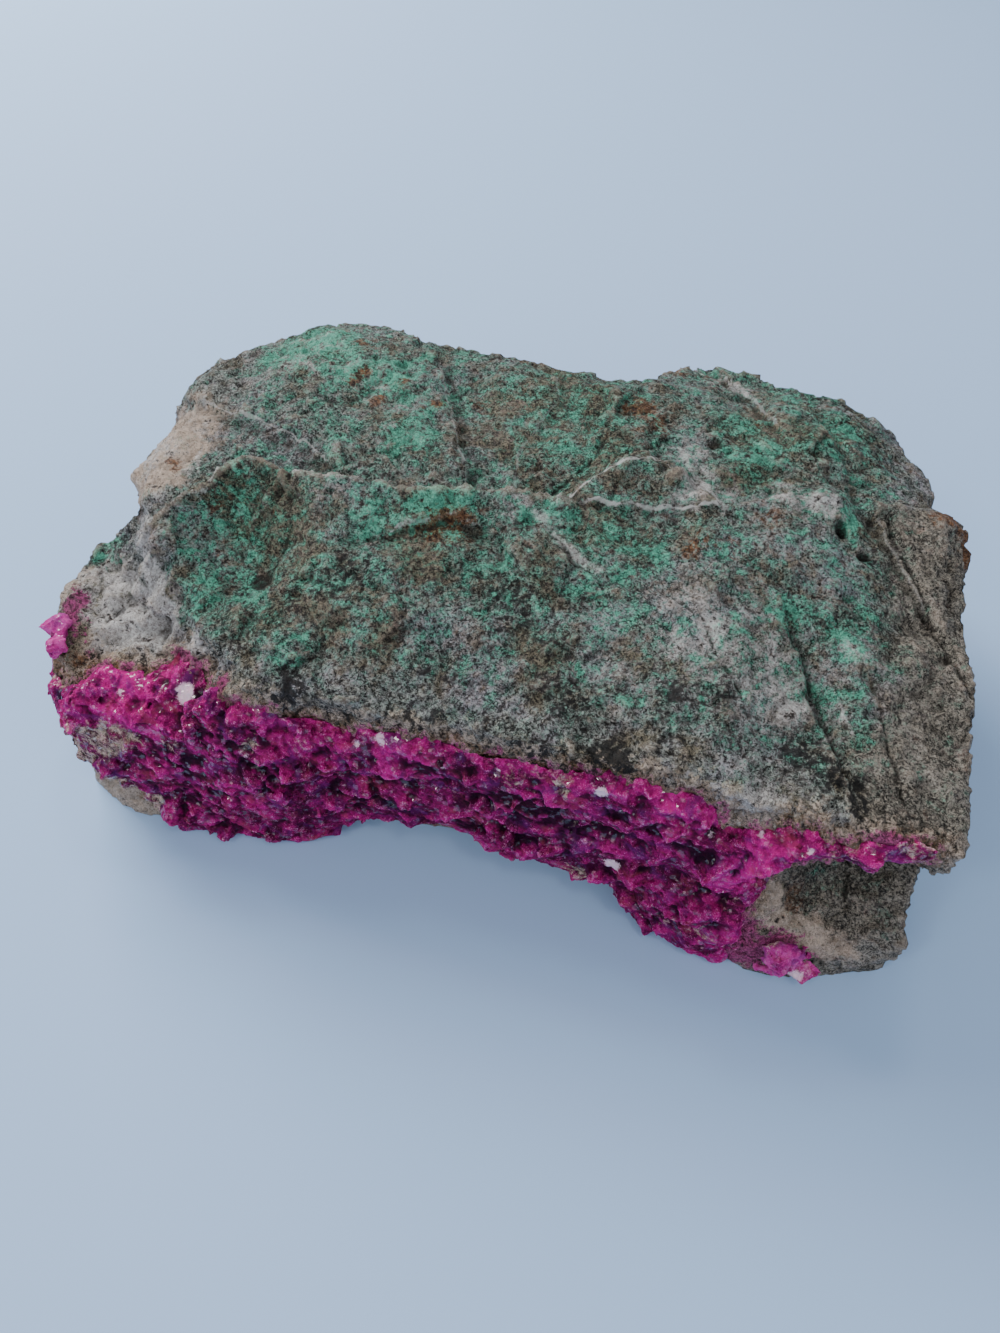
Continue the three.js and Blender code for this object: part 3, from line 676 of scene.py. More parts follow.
BLACK_MARKS = [
    (-20, -31, 33, 2.6, 0.8), (-15, -31, 32, 2, 0.7), (-8, -31, 32, 2, 0.7), (-3, -31, 33, 2.4, 0.6),
    (6, -32, 34, 2.4, 0.6), (20, -32, 34, 2.4, 0.9), (23.6, -29, 36.5, 2.2, 0.8),
    (25, -24, 38, 2, 0.7), (29, -22, 38, 2, 0.6), (39, -25, 35, 2.2, 0.9), (42, -28, 35, 2.2, 0.9),
    (46, -30, 34, 2, 0.6), (3, -14, 39, 3, 0.5), (4, -17.5, 38, 2.5, 0.6), (10, -19, 37.6, 2.5, 0.5),
    (22, -21, 38, 2.5, 0.5), (11, -25, 36, 3, 0.5), (-55, -11, 31, 1.8, 0.9),
    (-58.5, -15.5, 29.3, 1.6, 0.9), (44, 30, 38, 4, 0.5), (50, 26, 37, 3, 0.6),
    (-18.6, -15, 39.4, 2.5, 0.7), (-20, -18.5, 37.7, 2.2, 0.6), (-34, -19, 35.5, 2.5, 0.5),
    (-23, -22, 36.5, 3, 0.4), (-8, -20, 36.6, 2.5, 0.4), (45, -20, 36, 2.5, 0.4),
    (15, -28, 36, 3, 0.5), (30, -12, 39, 2.5, 0.35), (48, 6, 39, 2.5, 0.5), (36, -30, 34, 3, 0.4),
    (-5, -26, 36, 3, 0.4), (36, -6, 39.5, 2.5, 0.4), (56, 6, 36, 2, 0.6), (54, -7, 36, 2, 0.5),
    (-30, -27, 33.5, 2.5, 0.5), (-23, -32.4, 31, 1.6, 0.6), (13.5, -33.5, 31.5, 1.6, 0.8),
    (17.6, -32.5, 34, 1.8, 0.8), (32, -26.7, 36, 2, 0.5), (44.6, -17.7, 36.8, 1.6, 0.5),
    (49.2, -15.7, 36, 1.6, 0.6), (44.5, -34.5, 29.5, 3, 0.7), (52, -26.5, 13.5, 2.5, 0.6),
    (-22.3, -32.4, 32, 1.8, 1.1), (-14, -31.3, 29.5, 1.5, 1.1), (-2.9, -31.7, 30.8, 2, 1.1),
    (3.5, -32.2, 31.8, 1.6, 1), (10.8, -32.6, 33, 1.6, 0.9), (19.5, -32.8, 33.8, 1.9, 1.2),
    (1, -3.2, 41.8, 1.4, 0.7), (9, -12.4, 38.7, 1.8, 0.8), (24, -23, 37.8, 1.6, 0.7),
    (44.8, -28.6, 35.2, 1.8, 0.8),
]
PINK_MARKS = [
    (34, -36.5, 13, 3, 0.7), (37, -37, 7, 3.5, 0.9), (41, -36, 4, 3.5, 0.9), (44, -35, 7, 2.5, 0.8),
    (48, -34, 5, 2, 0.6), (42, -34, 10, 1.8, 0.6), (-56.5, -23, 28.5, 2.2, 1),
    (-55, -25.5, 27.5, 2.2, 0.7), (-52, -28.5, 26.5, 2.2, 0.4), (-38, -28.5, 29, 2, 0.5),
    (-30, -30.8, 31, 2, 0.4), (50, -33.5, 32.5, 2, 0.4),
]
# Thin pale lines seen from above, partly pale veins and partly painted highlights along the tops of
# ledges: line, half width
VEINS_AND_HIGHLIGHTS = [
    ([(-57.2, 19), (-52.9, 12.8), (-49.2, 5.2), (-47.2, -0.2), (-45.6, -4)], 0.6),
    ([(4.3, 1.6), (8.5, 6.3), (13, 9.9), (17, 12)], 0.5),
    ([(17.5, 17), (20, 12), (23.5, 7), (25, 5)], 0.9),
    ([(2.2, -1.9), (3.6, -3.3), (6.1, -5.6), (9.1, -7), (11.9, -8.2)], 1.2),
    ([(16.9, 46), (21.4, 44.9), (25.3, 38.4)], 0.4),
    ([(38, -9), (41, -14.5), (44.4, -22.5)], 0.3),
    ([(-49, -9), (-48.5, -13), (-45.2, -18.5), (-40.5, -22), (-36, -27), (-30.5, -31)], 1.3),
    ([(-39.5, -3.6), (-41.1, -9), (-45.5, -12), (-50, -13)], 0.5),
    ([(-60, -20), (-56, -23), (-52, -25), (-49, -28)], 0.5),
    ([(-3.3, 2), (-1, -1), (-2, -4)], 0.4),
    (RIDGE[4:9], 0.5),
]


def painted(places, marks, base=0.0):
    """Strength of a mineral at each place: a base and soft round marks."""
    total = np.full(len(places), base)
    for x, y, z, radius, strength in marks:
        away = ((places - np.array((x, y, z))) ** 2).sum(1)
        total += strength * np.exp(-away / radius**2)
    return total


def add_mark(mesh, name, values):
    mesh.attributes.new(name, "FLOAT", "POINT").data.foreach_set("value", values)


top = ramp(normals[:, 2], 0.2, 0.4)
from_right = np.clip((51 - places[:, 0]) / 6, 0, 1)
from_left = ramp(places[:, 0], -49, 4)
from_front = np.clip((places[:, 1] + 31) / 6, 0.3, 1)
green_base = 0.45 * top * from_right * from_left * from_front - 0.7 * (1 - top)
marks_of = {
    "green": (GREEN_MARKS, green_base),
    "pale": (PALE_MARKS, 0.02),
    "beige": (BEIGE_MARKS, 0.0),
    "lilac": (LILAC_MARKS, 0.17),
    "tan": (TAN_MARKS, 0.5 * (1 - top)),
    "brown": (BROWN_MARKS, 0.2),
    "rust": (RUST_MARKS, 0.12),
    "black": (BLACK_MARKS, 0.3 * top * from_right - 0.2),
    "pink": (PINK_MARKS, 0.0),
}
uneven = places + 1.5 * np.stack([lumps(places, 3.0, 4, k) for k in (3.0, 5.0, 7.0)], 1)
for name, (marks, base) in marks_of.items():
    add_mark(rock.data, name, painted(uneven, marks, base))
plan = places[:, :2] + 0.35 * np.stack([lumps(places, 2, 2, 4.0), lumps(places, 2, 2, 6.0)], 1)
vein_and_highlight = np.full(len(places), FAR)
for line, half in VEINS_AND_HIGHLIGHTS:
    away, _ = from_line(plan, line)
    vein_and_highlight = np.minimum(vein_and_highlight, away / half)
sideways = FAR * (1 - upward)
steep = 1 - ramp(normals_of(rock.data)[:, 2], 0.35, 0.3)
# rim and foot carry the painted highlight on step edges and the painted shadow at step feet; crack
# carries painted shade; vein is partly painted highlight.
for name, values in {
    "vein_and_highlight": vein_and_highlight + sideways,
    "ledge": ledge + sideways,
    "rim_highlight": rim_highlight * (1 - steep),
    "foot": foot * upward,
    "crack": crack + sideways,
    "contact": contact,
    "proud": proud,
}.items():
    add_mark(rock.data, name, values)
print("minerals painted on", len(places), "points")

# %% Close the flat base with few faces
shape = bmesh.new()
shape.from_mesh(rock.data)
shape.verts.ensure_lookup_table()
under = [f for f in shape.faces if all(v.co.z < SAME_PLACE for v in f.verts)]
bmesh.ops.dissolve_faces(shape, faces=under, use_verts=True)
bmesh.ops.triangulate(shape, faces=shape.faces)
shape.to_mesh(rock.data)
shape.free()
thin_out(rock, ROCK_TRIANGLES)
rock.data.shade_smooth()
print("host rock:", triangle_count(rock.data), "triangles")

# %% [markdown]
# ## The host rock's finish
#
# Close up, the rock is a felt of fibres and grains well under a millimetre wide,
# and the minerals colour it in soft patches of one to three millimetres. So one
# fine shade runs under everything, each mineral goes from its own dark to its
# own light colour with it, and a share says how much of the mineral is there: its
# painted mark with noise added. Hollows get painted shade and standing edges a
# painted highlight, the top edges of steps get thin white painted highlights, and
# cracks and the feet of steps get painted shade.

# %% Host rock finish
stone = Finish("granular stone", IOR=1.55, Specular_IOR_Level=0.3)
place = stone.place()
bent_place = stone.bent(place, 0.7, 0.4)
coarse = stone.grain(place, 5.5, 5, 0.6)
wide = stone.grain(place, 7.5, 5, 0.6, 0.5)
patch = stone.grain(place, 2.2, 5, 0.66, 0.4)
blotch = stone.grain(place, 2.9, 5, 0.66, 0.6)
other = stone.grain(place, 0.85, 4, 0.72)
fibre = stone.grain(place, 0.34, 4, 0.8, 1.6)
sugar = stone.grain(place, 0.22, 3, 0.8)
first, second, third = stone.chances(bent_place, 0.3)

GREY_DARK = colour(12, 14, 13)
GREY_LIGHT = colour(184, 190, 185)
LILAC_DARK = colour(42, 38, 46)
LILAC_LIGHT = colour(206, 198, 212)
WHITE = colour(238, 236, 236)
BEIGE = colour(224, 202, 184)
BEIGE_DARK = colour(96, 74, 60)
TAN = colour(180, 170, 156)
TAN_DARK = colour(34, 31, 29)
GREEN_DEEP = colour(5, 36, 28)
GREEN = colour(74, 158, 134)
GREEN_BRIGHT = colour(126, 230, 196)
BROWN = colour(136, 114, 70)
BROWN_DARK = colour(24, 18, 12)
OCHRE = colour(148, 100, 54)
RUST = colour(154, 98, 52)
RUST_DARK = colour(52, 26, 10)
BLACK = colour(7, 9, 14)
PINK_STAIN = colour(206, 60, 150)
PINK_DARK = colour(70, 14, 44)

tide = (wide - 0.5) + (blotch - 0.5) * 0.6
shade = (fibre - 0.5) * 5.2 + (second - 0.5) * 0.8 + other * 0.8 + 0.02 + tide
fuzz = (other - 0.5) * 0.7 + (sugar - 0.5) * 0.3
soft, contrary = (patch - 0.5) + fuzz, (blotch - 0.5) - fuzz
skin = stone.mix(GREY_DARK, GREY_LIGHT, shade)
lilac_share = stone.rise(stone.mark("lilac") + (wide - 0.5) * 2.0 + contrary * 1.4, 0.05, 0.6)
skin = stone.mix(skin, stone.mix(LILAC_DARK, LILAC_LIGHT, shade), lilac_share * 0.75)
brown_share = stone.rise(stone.mark("brown") + (0.5 - coarse) * 2.0 - soft * 1.4, 0.1, 0.65)
skin = stone.mix(skin, stone.mix(BROWN_DARK, BROWN, shade), brown_share * 0.7)
tan_share = stone.rise(stone.mark("tan") + soft, 0.3, 0.8)
skin = stone.mix(skin, stone.mix(TAN_DARK, TAN, shade), tan_share * 0.85)
beige_share = stone.rise(stone.mark("beige") + contrary * 1.4, 0.3, 0.75)
skin = stone.mix(skin, stone.mix(BEIGE_DARK, BEIGE, shade * 0.5 + 0.55), beige_share * 0.92)

green_level = stone.mark("green") + soft * 2.2 + (coarse - 0.5) * 1.4 + (first - 0.5) * 0.2
green_skin = stone.mix(GREEN_DEEP, GREEN, shade)
bright = stone.rise(green_level + (fibre - 0.5) * 2.0, 0.6, 1.0)
green_skin = stone.mix(green_skin, stone.mix(GREEN, GREEN_BRIGHT, shade), bright * 0.75)
skin = stone.mix(skin, green_skin, stone.rise(green_level, 0.1, 1.0) * 0.92)

pale_share = stone.rise(stone.mark("pale") * 0.8 + contrary * 2.2, 0.25, 0.8)
pale_skin = stone.mix(BEIGE_DARK, WHITE, shade * 0.6 + 0.5)
skin = stone.mix(skin, pale_skin, pale_share * 0.85)
# Painted highlight: points that stand out from the smoothed skin are made paler.
edge = stone.rise(stone.mark("proud") + (sugar - 0.5) * 0.6, 0.16, 0.5)
skin = stone.mix(skin, BEIGE, edge * 0.25)
breaks = (patch - 0.5) * 3.0 + (sugar - 0.5)
# Pale lines: partly pale veins in the rock, partly painted highlights along the tops of ledges.
vein_share = stone.rise(0.7 + breaks * 1.3 - stone.mark("vein_and_highlight"), 0.0, 0.8)
skin = stone.mix(skin, pale_skin, vein_share * 0.7)
# Painted highlight: a thin white line along each step's top edge, where the edge catches the light.
rim_line = 0.2 + breaks * 0.3 - abs(stone.mark("ledge") - 0.12)
rim_share = stone.rise(rim_line, 0.0, 0.15) * stone.mark("rim_highlight")
skin = stone.mix(skin, WHITE, rim_share * 0.85)

rust_share = stone.rise(stone.mark("rust") + contrary * 2.0 - soft * 0.6, 0.35, 0.8)
skin = stone.mix(skin, stone.mix(RUST_DARK, RUST, shade), rust_share * 0.85)
near_crust = stone.mark("contact")
crumbs = stone.mix(OCHRE, BEIGE, stone.rise(patch + (other - 0.5) * 0.6, 0.42, 0.58))
crumbs = stone.mix(BROWN_DARK, crumbs, shade * 0.8 + 0.3)
crumb_share = stone.rise(near_crust + soft * 2.0, 0.55, 0.95)
skin = stone.mix(skin, crumbs, crumb_share * 0.8)
pink_level = stone.mark("pink") + stone.rise(near_crust, 0.8, 1.0) * 0.5
pink_share = stone.rise(pink_level + soft * 1.8, 0.4, 0.75)
skin = stone.mix(skin, stone.mix(PINK_DARK, PINK_STAIN, shade + 0.15), pink_share * 0.85)
black_level = (
    stone.mark("black") * 0.62 + near_crust * ((blotch - 0.5) * 2.6 - 0.1) + (0.5 - other) * 3.2
    + (blotch - 0.5) * 1.4 + (fibre - 0.5) * 2.8 + (third - 0.5) * 0.2
)
skin = stone.mix(skin, BLACK, stone.rise(black_level, 0.46, 0.58) * 0.92)
# Painted shade in the cracks, grooves and pits, and painted shadow at the feet of the steps.
crack_shade = stone.rise(0.3 + breaks * 0.3 - stone.mark("crack"), 0.0, 0.25)
below = stone.rise(stone.mark("foot") + soft, 0.5, 1.1)
skin = stone.mix(skin, BROWN_DARK, crack_shade * 0.8)
skin = stone.mix(skin, BROWN_DARK, below * 0.4)
# Painted shade: points sunk below the smoothed skin are darkened.
hollow = stone.rise(0.0 - stone.mark("proud"), 0.08, 0.5)
skin = stone.mix(skin, BROWN_DARK, hollow * 0.5)
stone.paint("Base Color", skin)
stone.paint("Roughness", 0.85 - 0.5 * stone.rise(first, 0.8, 0.95))
stone.relief(second * 0.4 + other * 1.2 + fibre * 0.9 + sugar * 0.4, 0.5)
rock.data.materials.clear()
rock.data.materials.append(stone.material)
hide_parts("matrix_rock")
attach(rock, "root")

# %% [markdown]
# ## The magenta crust
#
# The crust is a bed of calcite rhombs that grew outwards from the wall into an
# open crack and ran into each other, so only their tips and a few broad faces
# show, with deep gaps between them. The CAD solid has the bed and its largest
# crystals. More rhombs are set in its outer side here, and one boolean union
# joins them, because crystals that grew into each other are one solid. A fine
# remesh rounds their corners a little and gives points for chips on their faces.

# %% One rhombohedron
def rhomb_mesh(name, rise, chance, bevel):
    """A rhombohedron of radius about 1, standing on a corner, with up to three of its
    corners broken off. rise is its slenderness and bevel the width of its worn edges."""
    turns = [2 * math.pi * k / 3 for k in range(3)]
    sides = [Vector((math.cos(t), math.sin(t), rise)) for t in turns]
    shape = bmesh.new()
    bmesh.ops.create_cube(shape, size=1)
    for v in shape.verts:
        v.co = sum((side * c for side, c in zip(sides, v.co)), Vector())
    for _ in range(chance.randrange(4)):
        corner = Vector(chance.choice(shape.verts[:]).co)
        across = corner.normalized() + 0.35 * Vector([chance.gauss(0, 1) for _ in range(3)])
        geometry = shape.verts[:] + shape.edges[:] + shape.faces[:]
        bmesh.ops.bisect_plane(
            shape, geom=geometry, plane_co=corner * chance.uniform(0.6, 0.85),
            plane_no=across.normalized(), clear_outer=True,
        )
        bmesh.ops.holes_fill(shape, edges=[e for e in shape.edges if e.is_boundary])
    if bevel:
        bmesh.ops.bevel(shape, geom=shape.edges[:], offset=bevel, segments=1, affect="EDGES")
    bmesh.ops.recalc_face_normals(shape, faces=shape.faces)
    bmesh.ops.triangulate(shape, faces=shape.faces)
    mesh = bpy.data.meshes.new(name)
    shape.to_mesh(mesh)
    shape.free()
    return mesh


cutting = random.Random(3)
RISES = (0.5, 0.6, 0.7, 0.8, 0.95, 1.15)
BEVELS = (0, 0.04, 0)
rhombs = [rhomb_mesh("rhomb", rise, cutting, bevel) for rise in RISES for bevel in BEVELS]
print(len(rhombs), "cut shapes")


# %% Places for crystals
CLEAR_OF_ROCK = 1.2  # no rock stands this close in front of a crystal's place
TRIES = 4  # places tried for each one wanted


def outer_places(mesh, rock_tree, count, chance):
    """Random places on the side of a mesh that looks away from the rock, with the way it faces."""
    mesh.calc_loop_triangles()
    triangles = [[mesh.vertices[i].co for i in t.vertices] for t in mesh.loop_triangles]
    facing = [t.normal.copy() for t in mesh.loop_triangles]
    weights = [t.area for t in mesh.loop_triangles]
    found = []
    for k in chance.choices(range(len(triangles)), weights, k=TRIES * count):
        a, b = sorted((chance.random(), chance.random()))
        p, q, r = triangles[k]
        spot = p * a + q * (b - a) + r * (1 - b)
        if rock_tree.ray_cast(spot, facing[k], CLEAR_OF_ROCK * MM)[0] is None:
            found.append((spot, facing[k]))
        if len(found) == count:
            break
    return found


# %% Grow a crust
LEAN = 0.4  # how far crystals lean from straight out
SMALLEST = 0.6
DEEPEST = 0.9  # a crystal's largest radius, as a share of the bed's thickness
TOO_PROUD = 0.2  # a crystal that stands out by so much more than it should is sunk
STILL_PROUD = 0.25  # and one that stands out by so much even then is left out


def grow(name, node, sizes, seed, rock_tree, step, height, most, wear):
    """Replaces a CAD crust with itself and its small crystals, under one new skin. sizes is
    a list of (how many, smallest radius, largest radius, twins that grew beside it), height
    is how much of its radius a crystal may stand out, most is the mesh's triangles, and
    wear is how many times its skin is smoothed."""
    chance = random.Random(seed)
    bed = clean_copy(node, name)
    own_tree = search_tree(bed.data)
    floor_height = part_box(node)[0].z
    folder = bpy.data.collections.new(name + " crystals")
    middles = []

    def above(tree, place):
        """How many millimetres a place is outside a mesh."""
        near, facing, _, away = tree.find_nearest(place)
        return away / MM if (place - near).dot(facing) > 0 else 0.0

    def thickness(spot, out):
        """How thick the bed is below a place, in millimetres."""
        return (own_tree.ray_cast(spot - out * 0.05 * MM, -out)[3] or 0.0) / MM

    def plant(spot, out, turn, radius, stand):
        """Sets a crystal so that its highest corner is stand millimetres out of the bed,
        and leaves it out where the bed is too small for it."""
        mesh = chance.choice(rhombs)
        widths = [radius * chance.uniform(0.75, 1.25) for _ in range(3)]
        grown = turn @ Matrix.Diagonal(widths).to_4x4()
        corners = [grown @ v.co for v in mesh.vertices]
        reach = max(c.dot(out) for c in corners)
        centre = spot + out * (stand - reach) * MM
        centre.z = max(centre.z, floor_height + 1.2 * radius * MM)

        def excess():
            ends = [centre + c * MM for c in corners]
            return max(min(above(own_tree, e), above(rock_tree, e)) for e in ends) - stand

        if excess() > TOO_PROUD:
            centre -= out * min(excess(), radius) * MM
            if excess() > STILL_PROUD:
                return
        crystal = bpy.data.objects.new("crystal", mesh)
        crystal.matrix_world = Matrix.Translation(centre) @ Matrix.Scale(MM, 4) @ grown
        folder.objects.link(crystal)
        middles.append((spot, radius))

    for count, smallest, largest, twins in sizes:
        for spot, out in outer_places(bed.data, rock_tree, count, chance):
            radius = smallest + (largest - smallest) * chance.random() ** 1.7
            radius = min(radius, max(SMALLEST, DEEPEST * thickness(spot, out)))
            jitter = Vector([chance.gauss(0, LEAN) for _ in range(3)])
            axis = (out + jitter).normalized()
            spin = Matrix.Rotation(chance.uniform(0, 2 * math.pi), 4, "Z")
            turn = axis.to_track_quat("Z", "Y").to_matrix().to_4x4() @ spin
            stand = chance.uniform(0.3, 1.0) * height * radius * (0.5 if out.z < -0.1 else 1.0)
            plant(spot, out, turn, radius, stand)
            for _ in range(twins):
                aside = Vector([chance.gauss(0, 0.5) for _ in range(3)]) * radius * MM
                plant(
                    spot + aside - out * aside.dot(out), out, turn,
                    radius * chance.uniform(0.4, 0.8), stand * chance.uniform(0.3, 0.9),
                )
    union = bed.modifiers.new("grown together", "BOOLEAN")
    union.operation = "UNION"
    union.operand_type = "COLLECTION"
    union.collection = folder
    union.solver = "MANIFOLD"
    bpy.context.view_layer.update()
    settle(bed)
    for crystal in list(folder.objects):
        bpy.data.objects.remove(crystal)
    bpy.data.collections.remove(folder)
    even_skin(bed, step)
    places = relax(points_of(bed.data), edge_pairs(bed.data), wear)
    push = (
        0.2 * chips(places + seed, 2.2, 0.9)
        + 0.15 * chips(places + 2 * seed, 0.9, 0.9)
        + 0.08 * lumps(places, 0.8, 2, seed)
    )
    places += normals_of(bed.data) * push[:, None]
    places[:, 2] = np.maximum(places[:, 2], floor_height / MM)
    set_points(bed.data, places)
    thin_out(bed, most)
    paint_crystals(bed, middles, rock_tree, chance)
    bed.data.shade_flat()
    print(name, len(middles), "crystals,", triangle_count(bed.data), "triangles")
    return bed


# %% Marks of the crystals
# x, y, z, radius, strength, as on the rock
BRIGHT_MARKS = [
    (27, -34, 32, 4, 0.4), (36, -36, 28, 4.5, 0.35), (34, -36, 21, 3.5, 0.4), (-6, -34, 26, 3.5, 0.3),
    (-16, -33, 25, 3.5, 0.3), (-22, -34, 26, 3.5, 0.3), (-47, -32, 24, 7, 0.3),
    (-38, -35, 21, 6, 0.3), (-29, -36, 14, 5, 0.2), (24, -33, 17, 3.5, 0.2), (-57, -26, 28, 3, 0.5),
    (44, -34, 8, 5, 0.3),
]
# Painted shade in the crevices between crystals
CREVICE_SHADE_MARKS = [
    (-2.6, -33.4, 25.7, 2.4, 0.5), (2.3, -34.8, 26, 2.4, 0.5), (6.4, -33.7, 24.5, 2.4, 0.6),
    (9.9, -33, 21.5, 2.8, 0.6), (13.7, -32.4, 20, 3, 0.5), (21.5, -34.6, 28, 2.2, 0.5),
    (25.7, -35.2, 27, 2.2, 0.6), (30.6, -35.2, 25.5, 2.4, 0.6), (-51.8, -34.4, 24.4, 2, 0.8),
    (-55.4, -32.6, 22, 2, 0.8), (-37, -36, 17.7, 3.5, 0.4), (-28, -35.6, 25, 3, 0.4),
    (-10.7, -32, 13.4, 4, 0.4), (2.8, -31, 10.4, 4, 0.4), (-35.8, -36, 11, 4, 0.3),
]
EARTH_MARKS = [
    (-57, -33, 2, 3, 0.9), (-54, -34.5, 4, 3, 0.9), (-51, -37, 19.5, 2.4, 0.8),
    (-47.5, -36.5, 17, 2.2, 0.9), (-54, -35.5, 14, 3.5, 1.1), (-51.5, -37, 10, 3.2, 1.1),
    (-48.4, -38.3, 11, 2.4, 0.8), (-49, -35.4, 4, 4, 1), (-43.5, -36.8, 6, 2.4, 0.9),
    (-58, -31.5, 10, 4.5, 1), (14, -33.5, 29.5, 2, 0.7), (8, -33.5, 28.5, 1.8, 0.6),
    (17, -32, 7.4, 3, 0.8), (-44, -36, 20, 2.5, 0.7), (-47.4, -36, 20, 2.5, 0.6),
    (-38, -35.4, 20, 2.5, 0.5), (-19.9, -34, 25.5, 1.6, 0.6), (-26, -35.4, 25, 1.6, 0.8),
    (34, -37, 8, 3, 0.5), (42, -35, 9, 3, 0.6), (46, -34.5, 32, 3, 0.2), (54, -33, 33, 3, 0.5),
    (-56, -30, 21, 4, 0.4), (28, -35, 7, 2.5, 0.4),
]
# Wide marks are pale frosted zones; the small ones are painted glints, white spots standing for
# reflections.
FROST_AND_GLINT_MARKS = [
    (-36, -32, 27.3, 1.6, 0.9), (-8.8, -33, 29, 1.3, 0.8), (18.3, -34, 30.5, 1.3, 0.6),
    (21, -32.7, 13.4, 1.6, 0.8), (-1.3, -33.3, 27.2, 1.3, 0.5), (46.5, -36, 3, 1.5, 0.7),
    (-17.7, -33.7, 20, 3, 0.3), (-25, -35.8, 20, 3, 0.3), (-52, -28.5, 26, 3, 0.4),
    (32, -37, 13, 3, 0.3), (44, -33, 32, 3, 0.3), (-0.4, -33, 21.4, 3, 0.25), (-46, -33, 21, 7, 0.22),
    (-34, -36, 18, 6, 0.2), (18.6, -34.4, 31.2, 0.8, 0.8), (20.9, -33, 13.2, 0.8, 0.7),
    (21.1, -34.5, 28.4, 0.8, 0.7), (31.4, -34.6, 28.3, 0.8, 0.8), (36.5, -34.6, 30.7, 0.8, 0.8),
    (41.8, -36, 31.8, 0.7, 0.7), (46.2, -36.5, 2.7, 0.8, 0.8), (-35.6, -31.9, 27.4, 1.1, 0.9),
    (-12, -33.5, 27.5, 0.8, 0.8), (-29.3, -34.7, 28, 0.7, 0.8), (-30.7, -36.8, 11.6, 0.7, 0.8),
    (-26.3, -35.9, 23.1, 0.7, 0.8), (27.3, -34.8, 8.7, 0.7, 0.8), (-45.2, -32.7, 25.5, 0.7, 0.8),
    (6, -33.7, 29.3, 0.7, 0.8),
]


NEIGHBOURS = 4  # crystals that a point may belong to
NEAR_ROUNDS, WIDE_ROUNDS = 12, 60  # smoothing that edges and standing tips are measured from
ROCK_SEARCH = 4.0
DIRT_REACH = 1.1


def paint_crystals(piece, middles, rock_tree, chance):
    """Gives each point its crystal's own tones, how far it stands out, and its place's marks."""
    tree = KDTree(len(middles))
    for i, (spot, _) in enumerate(middles):
        tree.insert(spot, i)
    tree.balance()
    own_tones = np.array([(chance.random(), chance.random()) for _ in middles])
    owners = []
    for v in piece.data.vertices:
        near = tree.find_n(v.co, NEIGHBOURS)
        owners.append(min(near, key=lambda f: f[2] - 0.8 * middles[f[1]][1] * MM)[1])
    places = points_of(piece.data)
    normals = normals_of(piece.data)
    pairs = edge_pairs(piece.data)
    near_means = relax(places, pairs, NEAR_ROUNDS)
    wide_means = relax(near_means, pairs, WIDE_ROUNDS)
    near_rock = distances(places, rock_tree, ROCK_SEARCH)
    # The edge and stand marks drive painted highlights on tips and edges and painted shade in the
    # gaps.
    for name, values in {
        "tone": own_tones[owners, 0],
        "polish": own_tones[owners, 1],
        "edge": ((places - near_means) * normals).sum(1),
        "stand": ((places - wide_means) * normals).sum(1),
        "contact": fade(near_rock, DIRT_REACH),
        "bright": painted(places, BRIGHT_MARKS),
        "dark": painted(places, CREVICE_SHADE_MARKS),
        "earth": painted(places, EARTH_MARKS),
        "frost_and_glint": painted(places, FROST_AND_GLINT_MARKS),
    }.items():
        add_mark(piece.data, name, values)


rock_surface = search_tree(rock.data)
crust = grow(
    "magenta_crust", "crystal_crust", [(260, 2.0, 4.2, 1), (1100, 0.8, 1.8, 0)],
    seed=11, rock_tree=rock_surface, step=0.3, height=0.65, most=190_000, wear=2,
)
left_patch = grow(
    "left_pink_crystals", "left_end_crystals", [(12, 0.6, 1.1, 0), (30, 0.4, 0.7, 0)],
    seed=5, rock_tree=rock_surface, step=0.25, height=0.15, most=30_000, wear=14,
)
foot_patch = grow(
    "foot_pink_crystals", "foot_crystals", [(20, 1.0, 1.8, 1), (50, 0.6, 1.0, 0)],
    seed=9, rock_tree=rock_surface, step=0.25, height=0.35, most=30_000, wear=5,
)

# %% [markdown]
# ## The crystals' finish
#
# Cobalt colours calcite magenta. The crystals are cloudy within and glassy on
# their faces, so they take light in and send some of it back as colour. Some
# transmission and some scattering just below the surface do this. Each crystal
# has its own tone. Tips that stand out get a painted highlight, convex edges
# paler painted highlights, and the gaps and crevices between crystals get
# painted shade. White glints are painted on a few places too.


# %% Crystal finishes
VIOLET = colour(96, 22, 104)
ROSE = colour(168, 62, 84)
GAP_SHADE = colour(22, 0, 20)
FROST_AND_GLINT = colour(252, 216, 234)


